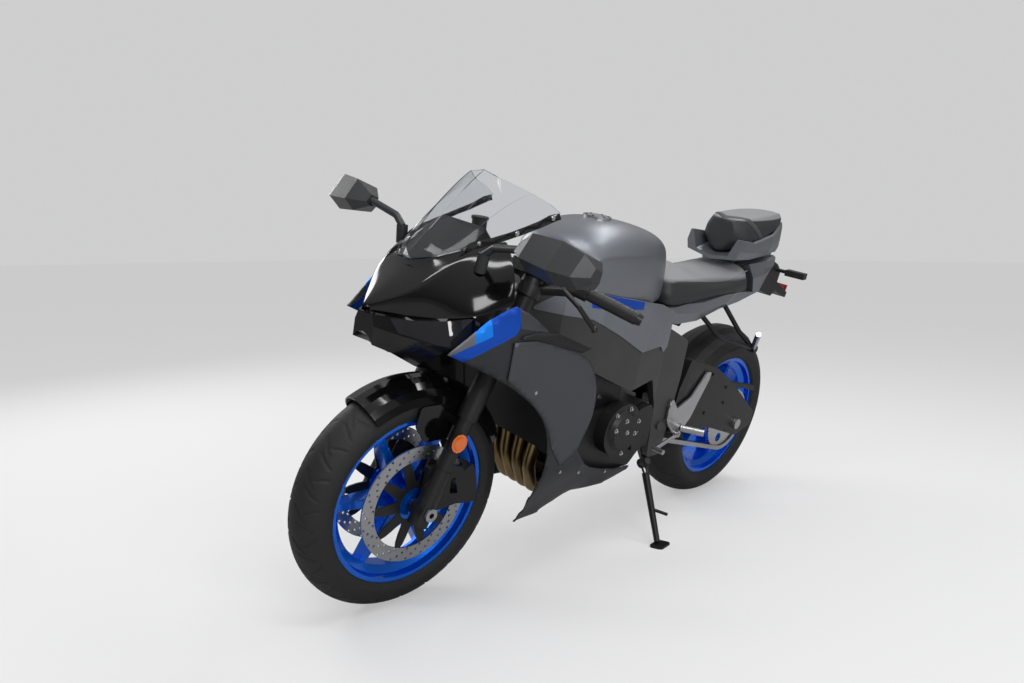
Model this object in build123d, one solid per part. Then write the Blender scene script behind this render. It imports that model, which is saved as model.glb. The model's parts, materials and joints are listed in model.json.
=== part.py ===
from build123d import *
import math
import os

# A faired 600-class road motorcycle, parked on its side stand. Millimetres and degrees.
# Every piece is drawn on an upright bike: X forward from the rear axle, Y to the rider's left,
# Z up from the road. The steered pieces are then turned about the steering axis, and the whole
# bike is leaned onto its stand and moved so that the origin is under the middle of its box.

# --- Driving dimensions ---------------------------------------------------------------------
wheelbase = 1400.0
rake = 23.5
trail = 101.0
lean = 13.2
steer = -2.6

front_tyre_radius = 300.0
front_tyre_half = 60.0
rear_tyre_radius = 315.0
rear_tyre_half = 90.0
rear_crown_radius = 92.0
bead_radius = 216.0
flange_radius = 228.5
front_rim_half = 51.0
rear_rim_half = 74.0
rim_wall = 5.0
spoke_count = 6

leg_pitch = 104.0           # each fork leg, from the middle
leg_inner_radius = 20.5
leg_outer_radius = 27.0
axle_radius = 12.5
running_gap = 0.4           # round a shaft that turns
seat_gap = 0.3              # between pieces that seat on each other
moving_gap = 8.0            # beside a turning tyre

front_disc_radius = 155.0
front_disc_offset = 66.0
rear_disc_radius = 110.0
disc_wall = 5.0

panel_wall = 3.0
chain_line = 106.0
chain_pitch = 15.875
front_teeth = 16
rear_teeth = 43

swing_pivot = (505.0, 392.0)
stand_pivot = (520.0, 135.0, 261.0)
stand_foot = (595.0, 300.0)     # on the road, parked
stand_fold = 100.0

front_axle_height = front_tyre_radius
rear_axle_height = rear_tyre_radius
steer_foot = Vector(wheelbase + trail, 0, 0)
steer_up = Vector(-math.sin(math.radians(rake)), 0, math.cos(math.radians(rake)))
front_axle = Vector(wheelbase, 0, front_axle_height)
rear_axle = Vector(0, 0, rear_axle_height)


# --- Ways of making solids -------------------------------------------------------------------
def side_slab(outline, y_low, y_high, corner=0.0):
    """A side-view outline of (x, z) points, solid from y_low to y_high."""
    face = make_face(Polyline(*outline, close=True))
    if corner:
        face = fillet(face.vertices(), corner)
    plane = Plane(origin=(0, y_high, 0), x_dir=(1, 0, 0), z_dir=(0, -1, 0))
    return extrude(plane * face, amount=y_high - y_low)


def rod(start, end, radius, end_radius=None):
    """A round bar or a cone between two points."""
    start, end = Vector(start), Vector(end)
    plane = Plane(origin=start, z_dir=end - start)
    length = (end - start).length
    if end_radius is None:
        return Solid.make_cylinder(radius, length, plane)
    return Solid.make_cone(radius, end_radius, length, plane)


def bent_tube(points, radius, bends):
    """A round tube along straight runs joined by arcs."""
    path = FilletPolyline(*points, radius=bends)
    section = Plane(origin=path @ 0, z_dir=path % 0) * Circle(radius)
    return sweep(section, path=path)


def ring_about_y(profile, centre):
    """A (radius, y) outline turned about the axle line through centre."""
    face = make_face(Polyline(*[(r, y) for r, y in profile], close=True))
    plane = Plane(origin=centre, x_dir=(1, 0, 0), z_dir=(0, 0, 1))
    return revolve(plane * face, axis=Axis(centre, (0, 1, 0)))


def section_wire(x, half):
    """A closed cross-section at x from its left half, top middle to bottom middle."""
    left = [(x, y, z) for y, z in half]
    right = [(x, -y, z) for y, z in reversed(half[1:-1])]
    return Wire.make_polygon(left + right, close=True)


def inset(half, wall):
    """A half cross-section moved inward by wall, square to its edges."""
    moved = []
    last = len(half) - 1
    for index, (y, z) in enumerate(half):
        before = (-half[1][0], half[1][1]) if index == 0 else half[index - 1]
        after = (-half[last - 1][0], half[last - 1][1]) if index == last else half[index + 1]
        first = Vector(y - before[0], z - before[1]).normalized()
        second = Vector(after[0] - y, after[1] - z).normalized()
        inward = Vector(first.Y + second.Y, -first.X - second.X).normalized()
        square = abs(inward.dot(Vector(first.Y, -first.X)))
        moved.append((max(y + inward.X * wall / square, 0.0), z + inward.Y * wall / square))
    return moved


def body_loft(sections, wall=0.0, ruled=False):
    """A closed body through left-half sections, made smaller by wall on every side."""
    return Solid.make_loft([section_wire(x, inset(half, wall) if wall else half)
                            for x, half in sections], ruled)


def both_sides(left):
    """The left piece and its mirror image, as separate solids."""
    return Compound(children=[left, mirror(left, about=Plane.XZ)])


def box_at(centre, size, tilt=0.0):
    """A box about its middle, tilted about the crosswise axis."""
    return Pos(*centre) * Rot(0, tilt, 0) * Box(*size)


def arc_points(centre, radius, start, stop, count):
    """Points on an arc in the side view."""
    step = (stop - start) / (count - 1)
    angles = [math.radians(start + step * index) for index in range(count)]
    return [(centre[0] + radius * math.cos(a), centre[1] + radius * math.sin(a)) for a in angles]


# --- Wheels ----------------------------------------------------------------------------------
def rim_ring(centre, half, spoke_depth):
    """Rim with flanges, bead seats and a dropped middle, spokes and hub."""
    drop = bead_radius - 22
    inner = drop - rim_wall
    profile = [(flange_radius, half), (flange_radius, half - rim_wall), (bead_radius, half - rim_wall - 2),
               (bead_radius - 2, half - 22), (drop, half - 34), (drop, -half + 34),
               (bead_radius - 2, -half + 22), (bead_radius, -half + rim_wall + 2),
               (flange_radius, -half + rim_wall), (flange_radius, -half),
               (bead_radius - rim_wall, -half + 2), (bead_radius - rim_wall - 3, -half + 20),
               (inner, -half + 32), (inner, half - 32),
               (bead_radius - rim_wall - 3, half - 20), (bead_radius - rim_wall, half - 2)]
    rim = ring_about_y(profile, centre)
    spoke = Solid.make_loft([
        Wire.make_polygon([(28, -17, -spoke_depth[0]), (28, 17, -spoke_depth[0]),
                           (28, 17, spoke_depth[0]), (28, -17, spoke_depth[0])]),
        Wire.make_polygon([(inner + 2, -9, -spoke_depth[1]), (inner + 2, 9, -spoke_depth[1]),
                           (inner + 2, 9, spoke_depth[1]), (inner + 2, -9, spoke_depth[1])])], True)
    for index in range(spoke_count):
        turned = Rot(0, 0, 2.3 + index * 360 / spoke_count) * spoke
        rim += Pos(*centre) * Rot(90, 0, 0) * turned
    return rim


def tyre_ring(centre, radius, crown, half, rim_half):
    """Tyre with a round crown, seated between the rim's flanges."""
    middle = radius - crown
    reach = math.degrees(math.asin(min(half / crown, 1.0)))
    crown_arc = [(middle + crown * math.cos(a), crown * math.sin(a))
                 for a in [math.radians(reach * k / 6) for k in range(-6, 7)]]
    bead = rim_half - rim_wall - 2 - seat_gap
    profile = crown_arc + [(flange_radius + 5, rim_half + 2), (flange_radius + 2, bead),
                           (bead_radius + seat_gap, bead), (bead_radius + seat_gap, bead - 14),
                           (bead_radius + 14, bead - 18), (bead_radius + 14, -bead + 18),
                           (bead_radius + seat_gap, -bead + 14), (bead_radius + seat_gap, -bead),
                           (flange_radius + 2, -bead), (flange_radius + 5, -rim_half - 2)]
    return ring_about_y(profile, centre)


def hub(centre, radius, y_low, y_high):
    low, high = centre + Vector(0, y_low, 0), centre + Vector(0, y_high, 0)
    return rod(low, high, radius)


def bored(shape, centre, radius):
    """Bore a piece along the axle line."""
    return shape - rod(centre - Vector(0, 300, 0), centre + Vector(0, 300, 0), radius)


def brake_disc(centre, offset, radius, band, hub_radius, arms):
    """Round disc on a spidered carrier."""
    low, high = centre + Vector(0, offset - disc_wall / 2, 0), centre + Vector(0, offset + disc_wall / 2, 0)
    disc = rod(low, high, radius) - rod(low, high, radius - band)
    carrier = rod(low, high, hub_radius)
    for index in range(arms):
        angle = 360 / arms * index
        arm = Pos((radius - band + hub_radius) / 2, 0, 0) * Box(radius - band - hub_radius + 8, 14, disc_wall)
        carrier += Pos(centre.X, offset, centre.Z) * Rot(90, 0, 0) * Rot(0, 0, angle) * arm
    return bored(disc + carrier, centre, hub_radius - 14)


front_hub_half = front_disc_offset - disc_wall / 2
disc_seat_radius = 54.0
front_rim = bored(rim_ring(front_axle, front_rim_half, (24, 17))
                  + hub(front_axle, 34, -front_hub_half, front_hub_half)
                  + hub(front_axle, disc_seat_radius, front_hub_half - 9, front_hub_half)
                  + hub(front_axle, disc_seat_radius, -front_hub_half, 9 - front_hub_half), front_axle, axle_radius + running_gap)
front_tyre = tyre_ring(front_axle, front_tyre_radius, front_tyre_half, front_tyre_half, front_rim_half)
front_discs = Compound(children=[brake_disc(front_axle, side * front_disc_offset, front_disc_radius, 36, 58, 5)
                                 for side in (1, -1)])

rear_sprocket_radius = chain_pitch / 2 / math.sin(math.pi / rear_teeth)
front_sprocket_radius = chain_pitch / 2 / math.sin(math.pi / front_teeth)
rear_disc_offset = -96.0
rear_hub_left = chain_line - 3
rear_rim = bored(rim_ring(rear_axle, rear_rim_half, (30, 20))
                 + hub(rear_axle, 45, rear_disc_offset + disc_wall / 2, rear_hub_left), rear_axle, axle_radius + running_gap)
rear_tyre = tyre_ring(rear_axle, rear_tyre_radius, rear_crown_radius, rear_tyre_half, rear_rim_half)
rear_disc = brake_disc(rear_axle, rear_disc_offset, rear_disc_radius, 32, 45, 5)
sprocket_plane = Plane(origin=(0, chain_line + 3, rear_axle_height), x_dir=(1, 0, 0), z_dir=(0, -1, 0))
tooth_ring = [(r * math.cos(a), r * math.sin(a))
              for k in range(rear_teeth)
              for r, a in ((rear_sprocket_radius - 4, 2 * math.pi * k / rear_teeth),
                           (rear_sprocket_radius + 3, 2 * math.pi * (k + 0.5) / rear_teeth))]
rear_sprocket = bored(extrude(sprocket_plane * make_face(Polyline(*tooth_ring, close=True)), amount=6),
                      rear_axle, axle_radius + running_gap)
for index in range(5):
    angle = math.radians(72 * index)
    spot = rear_axle + Vector(72 * math.cos(angle), 0, 72 * math.sin(angle))
    rear_sprocket = bored(rear_sprocket, spot, 17)


# --- Fork, bars and what steers ---------------------------------------------------------------
def leg_point(height, y=leg_pitch):
    """The fork leg's middle at a height above the road."""
    along = (height - front_axle_height) / steer_up.Z
    return front_axle + steer_up * along + Vector(0, y, 0)


def steer_point(height):
    return steer_foot + steer_up * (height / steer_up.Z)


upper_clamp_height = 880.0
lower_clamp_height = 705.0
clamp_wall = 24.0
leg_top = 905.0
seal_height = 545.0
stem_radius = 16.0

left_leg = (rod(leg_point(265), leg_point(400), 27, 23)
            + rod(leg_point(380), leg_point(seal_height), leg_inner_radius)
            + rod(leg_point(seal_height - 20), leg_point(leg_top), leg_outer_radius))
left_leg += rod(Vector(wheelbase, leg_pitch - 26, front_axle_height),
                Vector(wheelbase, leg_pitch + 18, front_axle_height), 26)
caliper_lug = [(1392, 410), (1340, 404), (1284, 390), (1272, 366), (1316, 362), (1316, 322), (1276, 316),
               (1278, 290), (1400, 280)]
left_leg += side_slab(caliper_lug, leg_pitch - 24, leg_pitch - 8, 4)
left_leg = bored(left_leg, front_axle, axle_radius)
fork_legs = both_sides(left_leg)
left_leg_mirror = mirror(left_leg, about=Plane.XZ)
axle_reach = leg_pitch + 34.0
front_axle_pin = rod(front_axle - Vector(0, axle_reach, 0), front_axle + Vector(0, axle_reach, 0),
                     axle_radius - seat_gap)
axle_bore_radius = 7.0
front_axle_pin += rod(front_axle + Vector(0, leg_pitch + 27 + seat_gap, 0),
                      front_axle + Vector(0, axle_reach, 0), 17)
for side in (1, -1):
    front_axle_pin += rod(front_axle + Vector(0, side * (front_hub_half + disc_wall + 1), 0),
                          front_axle + Vector(0, side * (leg_pitch - 27.5), 0), 18)
front_axle_pin = bored(front_axle_pin, front_axle, axle_bore_radius)


def clamp_plate(height):
    """Triple clamp: a plate square to the steering axis that grips both legs."""
    middle = steer_point(height)
    offset = (leg_point(height) - Vector(0, leg_pitch, 0)) - middle
    shift = offset.X / steer_up.Z
    plane = Plane(origin=middle, x_dir=(steer_up.Z, 0, -steer_up.X), z_dir=(steer_up.X, 0, steer_up.Z))
    plate = make_hull([*Circle(30).edges(),
                       *(Pos(shift * steer_up.Z, leg_pitch) * Circle(38)).edges(),
                       *(Pos(shift * steer_up.Z, -leg_pitch) * Circle(38)).edges()])
    plate = extrude(plane * plate, amount=clamp_wall / 2, both=True)
    for side in (1, -1):
        plate -= rod(leg_point(height - 40, side * leg_pitch), leg_point(height + 40, side * leg_pitch),
                     leg_outer_radius + seat_gap)
    return plate


lower_clamp = clamp_plate(lower_clamp_height)
upper_clamp = clamp_plate(upper_clamp_height)
stem_top = steer_point(upper_clamp_height + 26)
stem_bore_radius = 9.0
stem_bore_depth = 45.0
steering_clamps = (lower_clamp + upper_clamp
                   + rod(steer_point(lower_clamp_height), steer_point(upper_clamp_height), stem_radius)
                   + rod(steer_point(upper_clamp_height), stem_top, 15))
stem_mouth = steer_point(lower_clamp_height) - steer_up * (clamp_wall / 2)
steering_clamps -= rod(stem_mouth - steer_up * 10, stem_mouth + steer_up * stem_bore_depth, stem_bore_radius)

bar_height = 850.0
bar_root = leg_point(bar_height)
bar_inner = Vector(1075, 218, 868)
bar_end = Vector(998, 342, 826)
bar_line = (bar_end - bar_inner).normalized()
bar_clamp = (rod(leg_point(bar_height - 16), leg_point(bar_height + 12), leg_outer_radius + 9)
             - rod(leg_point(bar_height - 60), leg_point(bar_height + 60), leg_outer_radius + seat_gap))
bar_arm = rod(bar_root, bar_inner, 13) + rod(bar_inner, bar_end - bar_line * 13, 11)
left_bar = bar_clamp + bar_arm - rod(leg_point(bar_height - 60), leg_point(bar_height + 60),
                                     leg_outer_radius + seat_gap)
left_grip = (rod(bar_inner + bar_line * 8, bar_end - bar_line * 14, 17)
             - rod(bar_inner, bar_end, 11 + seat_gap))
grips = both_sides(left_grip)
left_bar += rod(bar_end - bar_line * 13.7, bar_end, 16, 13)

lever_root = bar_inner + Vector(58, -22, 10)
lever_line = [lever_root, Vector(1186, 244, 884), Vector(1182, 296, 858), Vector(1143, 320, 808)]
lever_radius = 6.0
left_lever = Pos(*lever_line[-1]) * Sphere(9)
for start, end in zip(lever_line, lever_line[1:]):
    left_lever += rod(start, end, lever_radius) + Pos(*end) * Sphere(lever_radius)
switch_box = rod(bar_inner - bar_line * 26, bar_inner + bar_line * 7.6, 22)
left_lever += rod(lever_root, bar_inner - bar_line * 10, 10) + switch_box
left_lever -= left_grip
clip_on_bars = both_sides(left_bar + left_lever)

pot_middle = Vector(1156, -115, 968)
pot_radius = 20.0
fluid_pot = rod(pot_middle - Vector(0, 0, 22), pot_middle + Vector(0, 0, 14), pot_radius)
fluid_pot += rod(pot_middle + Vector(0, 0, 14), pot_middle + Vector(0, 0, 22), pot_radius + 3)
pot_bracket_foot = leg_point(leg_top, -leg_pitch) + Vector(2, 0, -12)
fluid_pot += rod(pot_middle - Vector(2, -4, 18), pot_bracket_foot, 6) - left_leg_mirror


caliper_outline = (arc_points((wheelbase, front_axle_height), 176, 148, 186, 6)
                   + arc_points((wheelbase, front_axle_height), 112, 186, 148, 5))
caliper_slot = disc_wall / 2 + 5
left_caliper = side_slab(caliper_outline, front_disc_offset - 18, leg_pitch - 8, 5)
left_caliper -= rod(front_axle + Vector(0, front_disc_offset - caliper_slot, 0),
                    front_axle + Vector(0, front_disc_offset + caliper_slot, 0), front_disc_radius + 5)
left_caliper -= left_leg
front_calipers = both_sides(left_caliper)

fender_crown = front_tyre_half + moving_gap
fender_lift = 8.0           # the crown stands higher over the tread than its sides stand off
fender_wall = 4.0
fender_front, fender_rear = 59.0, 152.0


def fender_profile(crown, depth):
    middle = front_tyre_radius - front_tyre_half + fender_lift
    return [(middle + crown * math.cos(a), crown * math.sin(a))
            for a in [math.radians(depth * k / 5) for k in range(-5, 6)]]


fender_outline = fender_profile(fender_crown + fender_wall, 78) + fender_profile(fender_crown, 78)[::-1]
fender_face = make_face(Polyline(*fender_outline, close=True))
fender_dir = Vector(math.cos(math.radians(fender_rear)), 0, math.sin(math.radians(fender_rear)))
fender_plane = Plane(origin=front_axle, x_dir=fender_dir, z_dir=Vector(0, 1, 0).cross(fender_dir) * -1)
fender = revolve(fender_plane * fender_face, axis=Axis(front_axle, (0, 1, 0)),
                 revolution_arc=fender_rear - fender_front)
fender_side = side_slab([(1310, 466), (1400, 466), (1430, 510), (1420, 560), (1300, 560), (1275, 510)],
                        fender_crown + 1, fender_crown + 1 + fender_wall, 12)
fender_side += rod(Vector(1322, fender_crown + 4, 520), Vector(1322, leg_pitch - 10, 520), 14)
fender_side -= left_leg
front_mudguard = fender + fender_side + mirror(fender_side, about=Plane.XZ)

# --- Frame and engine -------------------------------------------------------------------------
head_tube = (rod(steer_point(lower_clamp_height + 22), steer_point(upper_clamp_height - 22), 34)
             - rod(steer_point(600), steer_point(1000), stem_radius + running_gap))
spar_outline = [(1165, 760), (1085, 826), (940, 822), (740, 790), (570, 722), (440, 668), (438, 549),
                (462, 286), (532, 286), (556, 470), (600, 560), (715, 540), (885, 612), (1050, 690)]
spar_half = side_slab(spar_outline, 0, 400, 14)
spar_plan = [(1190, 28), (1150, 42), (1085, 52), (1015, 104), (900, 150), (700, 160), (560, 148), (400, 148),
             (400, 130), (560, 128), (700, 130), (900, 122), (1000, 82), (1070, 30), (1150, 22)]
spar_plan_solid = extrude(Plane.XY * make_face(Polyline(*spar_plan, close=True)), amount=1200)
left_spar = spar_half & spar_plan_solid
frame_half = 148.0
pivot_pin_radius = 14.0
cross_tube = rod(Vector(480, -135, 640), Vector(480, 135, 640), 24)
pivot_pin = rod(Vector(swing_pivot[0], -frame_half - 6, swing_pivot[1]),
                Vector(swing_pivot[0], frame_half + 6, swing_pivot[1]), pivot_pin_radius)
lower_tube_spot = (497.0, 300.0)
lower_tube_radius = 13.0
lower_tube = rod(Vector(lower_tube_spot[0], -135, lower_tube_spot[1]),
                 Vector(lower_tube_spot[0], 135, lower_tube_spot[1]), lower_tube_radius)
main_frame = (left_spar + mirror(left_spar, about=Plane.XZ) + head_tube + cross_tube + lower_tube
              + pivot_pin)
cover_outline = [(1092, 784), (1020, 838), (960, 846), (802, 824), (640, 798), (560, 770), (506, 724),
                 (530, 690), (579, 644), (601, 666), (705, 660), (816, 717), (932, 768)]
cover_reach, cover_wall = 0.3, 4.0
cover_plan = ([(x, y + cover_reach) for x, y in spar_plan[2:7]]
              + [(x, y + cover_reach + cover_wall) for x, y in spar_plan[6:1:-1]])
left_frame_cover = side_slab(cover_outline, 0, 400, 6) & extrude(
    Plane.XY * make_face(Polyline(*cover_plan, close=True)), amount=1200)
frame_covers = both_sides(left_frame_cover)
stay_start = steer_point(800) + Vector(30, 0, 0)
stay_front = Vector(1300, 0, 905)
fairing_stay = rod(stay_start, stay_front, 12)
main_frame += fairing_stay
main_frame -= rod(steer_point(600), steer_point(1000), stem_radius + running_gap)


# --- Engine and what hangs on it --------------------------------------------------------------
crank_half = 162.0
cover_depth = 28.0
crankcase = side_slab([(562, 320), (610, 272), (860, 272), (930, 320), (945, 430), (900, 490),
                       (575, 480), (560, 400)], -crank_half + cover_depth, crank_half - cover_depth, 16)
sprocket_well = rod(Vector(598, 92, 405), Vector(598, 400, 405), 56)
crankcase -= sprocket_well + side_slab([(500, 310), (598, 340), (598, 461), (500, 461)], 92, 400)
cylinders = side_slab([(690, 470), (900, 470), (968, 660), (900, 700), (750, 720), (700, 640)],
                      -112, 112, 10)
engine = crankcase + cylinders - main_frame
stator_middle = Vector(735, 0, 425)
clutch_middle = Vector(665, 0, 400)
stator_cover = (rod(stator_middle + Vector(0, crank_half - cover_depth, 0), stator_middle + Vector(0, crank_half + 12, 0), 82)
                + rod(stator_middle + Vector(0, crank_half + 12, 0),
                      stator_middle + Vector(0, crank_half + 24, 0), 62, 52))
sprocket_cover = side_slab([(562, 342), (640, 330), (662, 400), (640, 470), (582, 480), (562, 440)],
                           crank_half - cover_depth, crank_half - 5, 12)
well_depth = crank_half - 16
sprocket_cover -= rod(Vector(598, 0, 405), Vector(598, well_depth, 405), 53)
sprocket_cover -= side_slab([(500, 320), (598, 345), (598, 461), (500, 461)], 0, well_depth)
left_cover = stator_cover + sprocket_cover - crankcase
clutch_cover = (rod(clutch_middle + Vector(0, -crank_half + cover_depth, 0), clutch_middle + Vector(0, -crank_half - 18, 0), 96)
                + rod(clutch_middle + Vector(0, -crank_half - 18, 0),
                      clutch_middle + Vector(0, -crank_half - 30, 0), 78, 66))
crank_cap = rod(Vector(835, -crank_half + cover_depth, 400), Vector(835, -crank_half + 2, 400), 55)
right_cover = clutch_cover + crank_cap
engine_covers = Compound(children=[left_cover, *right_cover.solids()])

radiator_tilt = 12.0
radiator_middle = Vector(1085, 0, 560)
radiator = box_at(radiator_middle, (28, 300, 270), radiator_tilt)
for side in (1, -1):
    radiator += box_at(radiator_middle + Vector(0, side * 165, 0), (34, 34, 280), radiator_tilt)

for side in (1, -1):
    radiator += rod(Vector(1104, side * 66, 680), Vector(1112, side * 44, 748), 7)
radiator -= main_frame

header_radius = 19.0
header_table = [(90, 52), (30, 18), (-30, -18), (-90, -52)]     # y at the head, y at the collector
head_port = (950, 590)
headers = None
for port_y, end_y in header_table:
    pipe = bent_tube([(head_port[0], port_y, head_port[1]), (998, port_y * 1.1, 560),
                      (1006, (port_y + end_y) / 2, 330), (955, end_y, 238), (850, end_y, 236)],
                     header_radius, [30, 80, 50])
    headers = pipe if headers is None else headers + pipe
exhaust_height = 236.0
collector = Solid.make_loft([
    (Plane(origin=(x, y, exhaust_height), z_dir=(-1, 0, 0), x_dir=(0, 1, 0))
     * RectangleRounded(wide, high, corner)).wire()
    for x, y, wide, high, corner in ((870, 0, 142, 40, 19), (760, -6, 70, 46, 22), (740, -6, 120, 50, 20),
                                     (600, -10, 120, 50, 20), (575, -30, 56, 46, 22))], True)
link_end = Vector(336, -196, 326)
link_pipe = bent_tube([(582, -30, exhaust_height), (520, -60, 234), (420, -160, 288), link_end], 23, [50, 60])
headers = headers + collector + link_pipe - engine

silencer_front, silencer_rear = link_end, Vector(-30, -236, 470)
silencer_line = (silencer_rear - silencer_front).normalized()
silencer = Solid.make_loft([
    (Plane(origin=silencer_front + silencer_line * along, z_dir=silencer_line, x_dir=(0, 1, 0))
     * RectangleRounded(wide, high, round_corner)).wire()
    for along, wide, high, round_corner in ((0, 56, 56, 27), (90, 100, 130, 40),
                                            (330, 112, 140, 42), (385, 80, 96, 34))], True)
headers -= silencer
silencer -= rod(silencer_rear - silencer_line * 60, silencer_rear + silencer_line * 20, 26)

# --- Swingarm, chain and rear axle ------------------------------------------------------------
arm_inner, arm_outer = 119.0, 146.0
arm_outline = [(430, 350), (430, 424), (424, 500), (388, 596), (301, 575), (210, 548), (101, 491),
               (43, 454), (-59, 385), (-128, 340), (-124, 290), (-28, 262), (173, 326), (330, 346)]
right_outline = [(430, 350), (430, 424), (200, 410), (20, 372), (-128, 350), (-124, 290),
                 (-28, 262), (173, 326), (330, 346)]
left_arm = side_slab(arm_outline, arm_inner, arm_outer, 9)
right_arm = mirror(side_slab(right_outline, arm_inner, arm_outer, 9), about=Plane.XZ)
arm_bridge = side_slab([(436, 350), (436, 424), (350, 424), (350, 350)], -arm_outer + 1, arm_outer - 1, 8)
pivot_box = side_slab([(540, 362), (540, 422), (400, 424), (400, 352)], -92, 92, 12)
swingarm = left_arm + arm_bridge + right_arm + pivot_box
swingarm = bored(swingarm, rear_axle, axle_radius)
swingarm -= rod(Vector(swing_pivot[0], -300, swing_pivot[1]), Vector(swing_pivot[0], 300, swing_pivot[1]),
                pivot_pin_radius + seat_gap)
spool_spot = (60.0, 296.0)
spool_radius = 4.0
spool_depth = 22.0
for side in (1, -1):
    swingarm -= rod(Vector(spool_spot[0], side * (arm_outer - spool_depth), spool_spot[1]),
                    Vector(spool_spot[0], side * (arm_outer + 5), spool_spot[1]), spool_radius)
rear_axle_pin = rod(rear_axle - Vector(0, arm_outer + 14, 0), rear_axle + Vector(0, arm_outer + 14, 0),
                    axle_radius - seat_gap)
rear_axle_pin += (rod(rear_axle + Vector(0, arm_outer + seat_gap, 0), rear_axle + Vector(0, arm_outer + 14, 0), 19)
                  + rod(rear_axle - Vector(0, arm_outer + 14, 0), rear_axle - Vector(0, arm_outer + seat_gap, 0), 19))
rear_axle_pin += rod(rear_axle + Vector(0, chain_line + 4, 0), rear_axle + Vector(0, arm_inner - seat_gap, 0), 20)
rear_axle_pin += rod(rear_axle - Vector(0, 99.5, 0), rear_axle - Vector(0, arm_inner - seat_gap, 0), 20)

front_sprocket_middle = Vector(598, chain_line, 405)
chain_half_wide = 9.0
chain_half_high = 9.0
chain_gap = 4.5


def belt(front_radius, rear_radius, y_low, y_high):
    """The loop round both sprockets, filled."""
    edges = (Pos(rear_axle.X, rear_axle.Z) * Circle(rear_radius)).edges()
    edges += (Pos(front_sprocket_middle.X, front_sprocket_middle.Z) * Circle(front_radius)).edges()
    plane = Plane(origin=(0, y_high, 0), x_dir=(1, 0, 0), z_dir=(0, -1, 0))
    return extrude(plane * make_hull(edges), amount=y_high - y_low)


chain = (belt(front_sprocket_radius + chain_half_high, rear_sprocket_radius + chain_half_high,
              chain_line - chain_half_wide, chain_line + chain_half_wide)
         - belt(front_sprocket_radius - chain_half_high + 3, rear_sprocket_radius - chain_half_high + 3,
                chain_line - chain_half_wide - 1, chain_line + chain_half_wide + 1)
         - belt(front_sprocket_radius + chain_half_high - 4, rear_sprocket_radius + chain_half_high - 4,
                chain_line - chain_gap, chain_line + chain_gap))
sprocket_half = Vector(0, chain_gap - seat_gap, 0)
engine += (rod(front_sprocket_middle - sprocket_half, front_sprocket_middle + sprocket_half,
               front_sprocket_radius)
           + rod(Vector(598, 90, 405), Vector(598, well_depth - 6, 405), 16))

chain_guard = side_slab([(424, 468), (424, 492), (200, 474), (20, 464), (-140, 430), (-150, 408), (-60, 430),
                         (20, 446), (200, 455)], chain_line - 7, arm_inner - seat_gap, 4)

hugger_inner = rear_tyre_radius + 9
hugger_middle = rear_tyre_radius - rear_crown_radius
hugger_curve = [(hugger_middle + c * math.cos(a), c * math.sin(a))
                for c, order in ((rear_crown_radius + 12, 1), (rear_crown_radius + 9, -1))
                for a in [math.radians(62 * order * k / 4) for k in range(-4, 5)]]
hugger_dir = Vector(-math.sin(math.radians(25)), 0, math.cos(math.radians(25)))
hugger_plane = Plane(origin=rear_axle, x_dir=hugger_dir, z_dir=Vector(0, 1, 0).cross(hugger_dir) * -1)
hugger = revolve(hugger_plane * make_face(Polyline(*hugger_curve, close=True)),
                 axis=Axis(rear_axle, (0, 1, 0)), revolution_arc=95)
shock_foot, shock_head = Vector(420, 0, 424.3), Vector(474, 0, 615)
shock_line = (shock_head - shock_foot).normalized()
shock = (rod(shock_foot, shock_head, 12) + rod(shock_foot + shock_line * 28, shock_head - shock_line * 62, 30)
         + rod(shock_head - shock_line * 62, shock_head - shock_line * 12, 24))
shock -= main_frame
shock -= swingarm
hugger += side_slab([(312, 424.3), (362, 424.3), (362, 430), (338, 458), (300, 458), (300, 440)], -40, 86)
hugger += side_slab([(302, 449), (336, 449), (336, 458), (302, 458)], 80, arm_inner - seat_gap)
hugger += chain_guard

rear_caliper = side_slab(arc_points((0, rear_axle_height), 124, 20, 52, 5)
                         + arc_points((0, rear_axle_height), 74, 52, 20, 4), -arm_inner + seat_gap, -80, 5)
rear_caliper -= rod(rear_axle - Vector(0, 103, 0), rear_axle - Vector(0, 89, 0), rear_disc_radius + 4)

# --- Footrests and stand bracket ---------------------------------------------------------------
def footrest(side):
    """Heel plate, hanger, folding peg and a foot control on one side."""
    plate = side_slab([(480, 470), (476, 400), (420, 352), (385, 350), (340, 392), (272, 520), (268, 545),
                       (290, 548), (360, 470), (430, 440), (462, 476)], 152, 158, 6)
    plate += rod(Vector(408, 152, 376), Vector(408, 172, 376), 13)
    plate += rod(Vector(470, frame_half, 455), Vector(470, 160, 455), 9)
    plate += rod(Vector(466, frame_half, 402), Vector(466, 160, 402), 9)
    peg = rod(Vector(408, 172, 376), Vector(372, 238, 378), 11, 12)
    lever = (rod(Vector(408, 168, 352), Vector(540, 176, 330), 6)
             + rod(Vector(540, 170, 330), Vector(540, 208, 330), 8)
             + rod(Vector(408, 156, 352), Vector(408, 170, 352), 11))
    piece = plate + peg + lever
    return piece if side > 0 else mirror(piece, about=Plane.XZ)


left_footrest = footrest(1)
right_footrest = footrest(-1)


def pillion_footrest(side):
    """Tube hanger from the tail with a folded peg."""
    piece = (bent_tube([(318, 98, 730), (240, 135, 660), (30, 160, 606)], 8, [60])
             + bent_tube([(188, 92, 764), (120, 140, 670), (30, 160, 606)], 8, [40])
             + rod(Vector(30, 148, 606), Vector(30, 172, 606), 14)
             + rod(Vector(30, 160, 606), Vector(105, 205, 676), 9))
    return piece if side > 0 else mirror(piece, about=Plane.XZ)


pillion_footrests = Compound(children=[pillion_footrest(1), pillion_footrest(-1)])

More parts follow.
